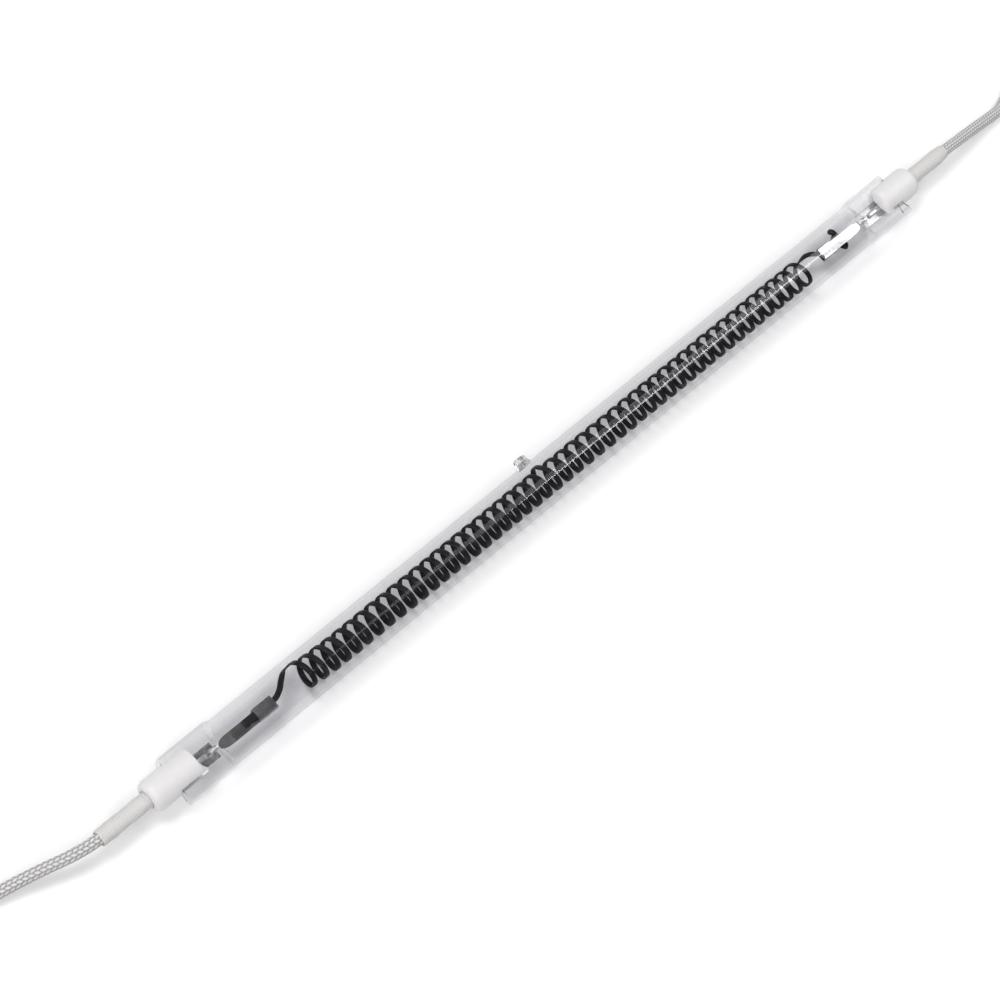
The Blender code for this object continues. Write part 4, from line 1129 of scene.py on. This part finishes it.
# Braided leads. The spare length is a hank of two loops, one on the other, and its end comes down inside.
leadPlan = {
    "diameter": 3.0 * mm,
    "start": 130.0 * mm,
    "sleeveEnd": 145.4 * mm,
    "routes": {
        "left": ((6.9, 1.75, 4.1), (13.9, 3.75, 3.0), (20.9, 5.6, 1.5), (30.0, 7.3, 0.3), (36.9, 7.5, 0.0)),
        "right": ((6.9, 0.7, 3.7), (13.9, 0.75, 2.3), (20.9, 0.65, 0.9), (26.5, 0.9, 0.2), (35.9, 4.2, 0.0)),
    },
    "foldRadius": 7.5 * mm,
    "run": 38.0 * mm,
    "seatGap": 0.3 * mm,
    "leaveAt": 18.0 * mm,
    "endAt": (4.8 * mm, -2.18 * mm),
    "strands": {"left": 5, "right": 6},
    "pitch": {"left": 1.43 * mm, "right": 1.05 * mm},
    "relief": 0.13 * mm,
    "columns": 48,
    "seenStep": 0.10 * mm,
    "hankStep": 0.20 * mm,
    "tieAt": 21.0 * mm,
    "tieWidth": 4.0 * mm,
    "tieThick": 0.5 * mm,
}


# The near fold's centre, as distance from the middle of the lamp and y.
def nearFold(side):
    plan = leadPlan
    past, y, _ = plan["routes"][side][-1]
    half = plan["diameter"] / 2
    touch = plan["foldRadius"] + half + plan["seatGap"]
    onward = math.sqrt(touch**2 - (plan["foldRadius"] - half) ** 2)
    return plan["sleeveEnd"] + past * mm + onward, y * mm - plan["foldRadius"]


# One loop of the hank as (out, y, z) rows: out along +Y, round the far fold, back, and round the near fold.
def hankLoop(radius, run, levels, nearTurn):
    fold = np.linspace(np.pi / 2, -np.pi / 2, 25)
    there = np.linspace(0, run, 39)[:-1]
    back = np.linspace(run, 0, 39)[1:-1]
    near = np.linspace(-np.pi / 2, -np.pi / 2 - nearTurn, 25)
    out = np.concatenate([there, run + radius * np.cos(fold), back, radius * np.cos(near)])
    across = np.concatenate([np.full(38, radius), radius * np.sin(fold), np.full(37, -radius),
                             radius * np.sin(near)])
    level = np.full(len(out), levels[0])
    level[-25:] += (levels[1] - levels[0]) * smoothStep(np.linspace(0, 1.35, 25))
    return np.column_stack([out, across, level])


# Straight through the sleeve, down the route to the floor, then round the hank and down into its middle.
def leadPath(side):
    plan = leadPlan
    sign, half = sides[side], plan["diameter"] / 2
    knots = [(sign * x, capPlan["shift"], axisHeight) for x in (plan["start"], plan["sleeveEnd"])]
    knots += [(sign * (plan["sleeveEnd"] + past * mm), y * mm, half + rise * mm)
              for past, y, rise in plan["routes"][side]]
    route = smoothCurve(knots, 24)
    first = hankLoop(plan["foldRadius"], plan["run"], (half, 3 * half), np.pi)
    second = hankLoop(plan["foldRadius"] - 0.1 * mm, plan["run"] - 0.4 * mm, (3 * half, 3 * half), 0.01)
    second = second[second[:, 1] > -plan["foldRadius"]][:-25]
    second = second[~((second[:, 1] < 0) & (second[:, 0] < plan["leaveAt"]))]
    share = np.linspace(0, 1, 20)[1:]
    endOut, endAcross = plan["endAt"]
    last = np.column_stack([
        plan["leaveAt"] + (endOut - plan["leaveAt"]) * share,
        second[-1, 1] + (endAcross - second[-1, 1]) * smoothStep(share),
        3 * half - 2 * half * smoothStep(1.25 * share - 0.25),
    ])
    hank = np.vstack([first, second, last])
    out, middle = nearFold(side)
    place = np.column_stack([sign * (out + hank[:, 0]), middle + hank[:, 1], hank[:, 2]])
    path = np.vstack([route, place])
    lengths = arcLength(path)
    path = atDistances(path, np.linspace(0, lengths[-1], int(lengths[-1] / (0.5 * mm))))
    kernel = np.ones(7) / 7
    padded = np.vstack([2 * path[0] - path[3:0:-1], path, 2 * path[-1] - path[-2:-5:-1]])
    path = np.column_stack([np.convolve(padded[:, k], kernel, "valid") for k in range(3)])
    outward, across = np.abs(path[:, 0]) - out, path[:, 1] - middle
    squeeze = smoothStep((plan["tieWidth"] - np.abs(outward - plan["tieAt"])) / (1.7 * mm))
    path[:, 1] -= 0.3 * mm * squeeze * np.sign(across)
    path[:, 2] += 0.3 * mm * squeeze * np.sign(2 * half - path[:, 2])
    hankAt = arcLength(path)[int(np.argmax(outward > -2 * mm))]
    return path, squeeze, (out, middle), hankAt


# Braid: two sets of strands wind opposite ways, each a rounded ridge. The set on top changes with the
# cosine of the strand count times the angle.
def braidHeight(along, angle, strands, pitch):
    turn = strands * angle / (2 * np.pi)
    first, second = turn - along / pitch, turn + along / pitch
    ridges = [np.sqrt(np.maximum(1 - (2.0 * (s - np.round(s))) ** 2, 0)) for s in (first, second)]
    weave = np.cos(2 * np.pi * turn)
    return np.maximum(0.55 * ridges[0] + 0.45 * weave, 0.55 * ridges[1] - 0.45 * weave)


def makeLead(side, material):
    plan = leadPlan
    path, squeeze, fold, hankAt = leadPath(side)
    lengths = arcLength(path)
    steps = np.concatenate([np.linspace(0, hankAt, int(hankAt / plan["seenStep"]), endpoint=False),
                            np.linspace(hankAt, lengths[-1], int((lengths[-1] - hankAt) / plan["hankStep"]))])
    squeeze = np.interp(steps, lengths, squeeze)
    line = atDistances(path, steps)
    aside, up = uprightFrames(line)
    count = plan["columns"]
    angle = 2 * np.pi * np.arange(count) / count
    height = braidHeight(steps[:, None], angle[None, :], plan["strands"][side], plan["pitch"][side])
    radius = plan["diameter"] / 2 * (1 - 0.2 * squeeze[:, None]) + plan["relief"] * (height - 0.85)
    end = np.clip((steps[-1] - steps) / (0.5 * mm), 0, 1)[:, None]
    radius = radius * (0.55 + 0.45 * np.sqrt(end))
    grid = sweep(line, aside, up, radius * np.cos(angle), radius * np.sin(angle))
    lead = buildSurface(side + "Lead", grid, along=steps, sharpAngle=180)
    fixOutside(lead)
    setAttribute(lead, "relief", (height - 0.42) / 0.58)
    dress(lead, material, "braid", side + "_lead", side + "_lead_hank")
    return lead, path, fold


# Tie: a tape round both runs, |y/w|^7 + |z/h|^7 = 1, with a ribbed weave and its end lapped over on top.
def makeTie(side, fold, material):
    plan = leadPlan
    out, middle = fold
    width, height = plan["foldRadius"] + plan["diameter"] / 2, plan["diameter"]
    y, z = circle(160, 0.5, 2 / 7)
    across = np.linspace(-1, 1, 25)[:, None]
    lapped = 0.35 * mm * smoothStep((y + 0.45) / 0.03) * smoothStep((0.35 - y) / 0.03) * (z > 0.5)
    ribs = 0.035 * mm * (np.arange(25)[:, None] % 2 == 0)
    rim = 0.2 * mm * (np.abs(across) > 0.97)
    inset = 0.06 * mm + ribs + rim
    hollow = plan["tieThick"] - 0.8 * rim
    xs = sides[side] * (out + plan["tieAt"]) + across * plan["tieWidth"] / 2
    outside = pointGrid(xs, middle + (width - inset) * y, height + (height - inset) * z + lapped)
    inside = pointGrid(xs, middle + (width - hollow) * y, height + (height - hollow) * z)
    tie = buildSurface(side + "LeadTie", np.vstack([outside, inside[::-1]]), wrapRows=True)
    fixOutside(tie)
    return dress(tie, material, "tie", side + "_lead_tie")


# Tinned end: seven strands twisted together, radius = r (1 + 0.10 cos 7(angle - twist)).
def makeTip(side, fold):
    out, middle = fold
    endOut, endAcross = leadPlan["endAt"]
    share = np.linspace(0, 1, 70)
    x = sides[side] * (out + endOut + 0.9 * mm - 10.2 * mm * share)
    level = (1.45 + (0.74 - 1.45) * smoothStep(share * 1.8)) * mm
    path = np.column_stack([x, np.full_like(x, middle + endAcross), level])
    aside, up = uprightFrames(path)
    count = 56
    angle = 2 * np.pi * np.arange(count) / count
    radius = 0.66 * mm * (1 + 0.10 * np.cos(7 * (angle[None, :] - 9 * share[:, None])))
    radius = radius * np.sqrt(np.clip((1.015 - share) / 0.05, 0.02, 1))[:, None]
    grid = sweep(path, aside, up, radius * np.cos(angle), radius * np.sin(angle))
    tip = buildSurface(side + "LeadTip", grid, along=share * 10 * mm)
    fixOutside(tip)
    return dress(tip, tinned, "tinned", side + "_lead_tip")


tape = makeToothed("tape", (0.80, 0.79, 0.76), 0.55, (1300.0, 0.00003, (1.0, 1.0, 0.3)),
                   [(0.3, (0.72, 0.705, 0.67)), (0.65, (0.83, 0.82, 0.79))])
for side in sides:
    lead, path, fold = makeLead(side, leadYarn)
    tie = makeTie(side, fold, tape)
    tip = makeTip(side, fold)
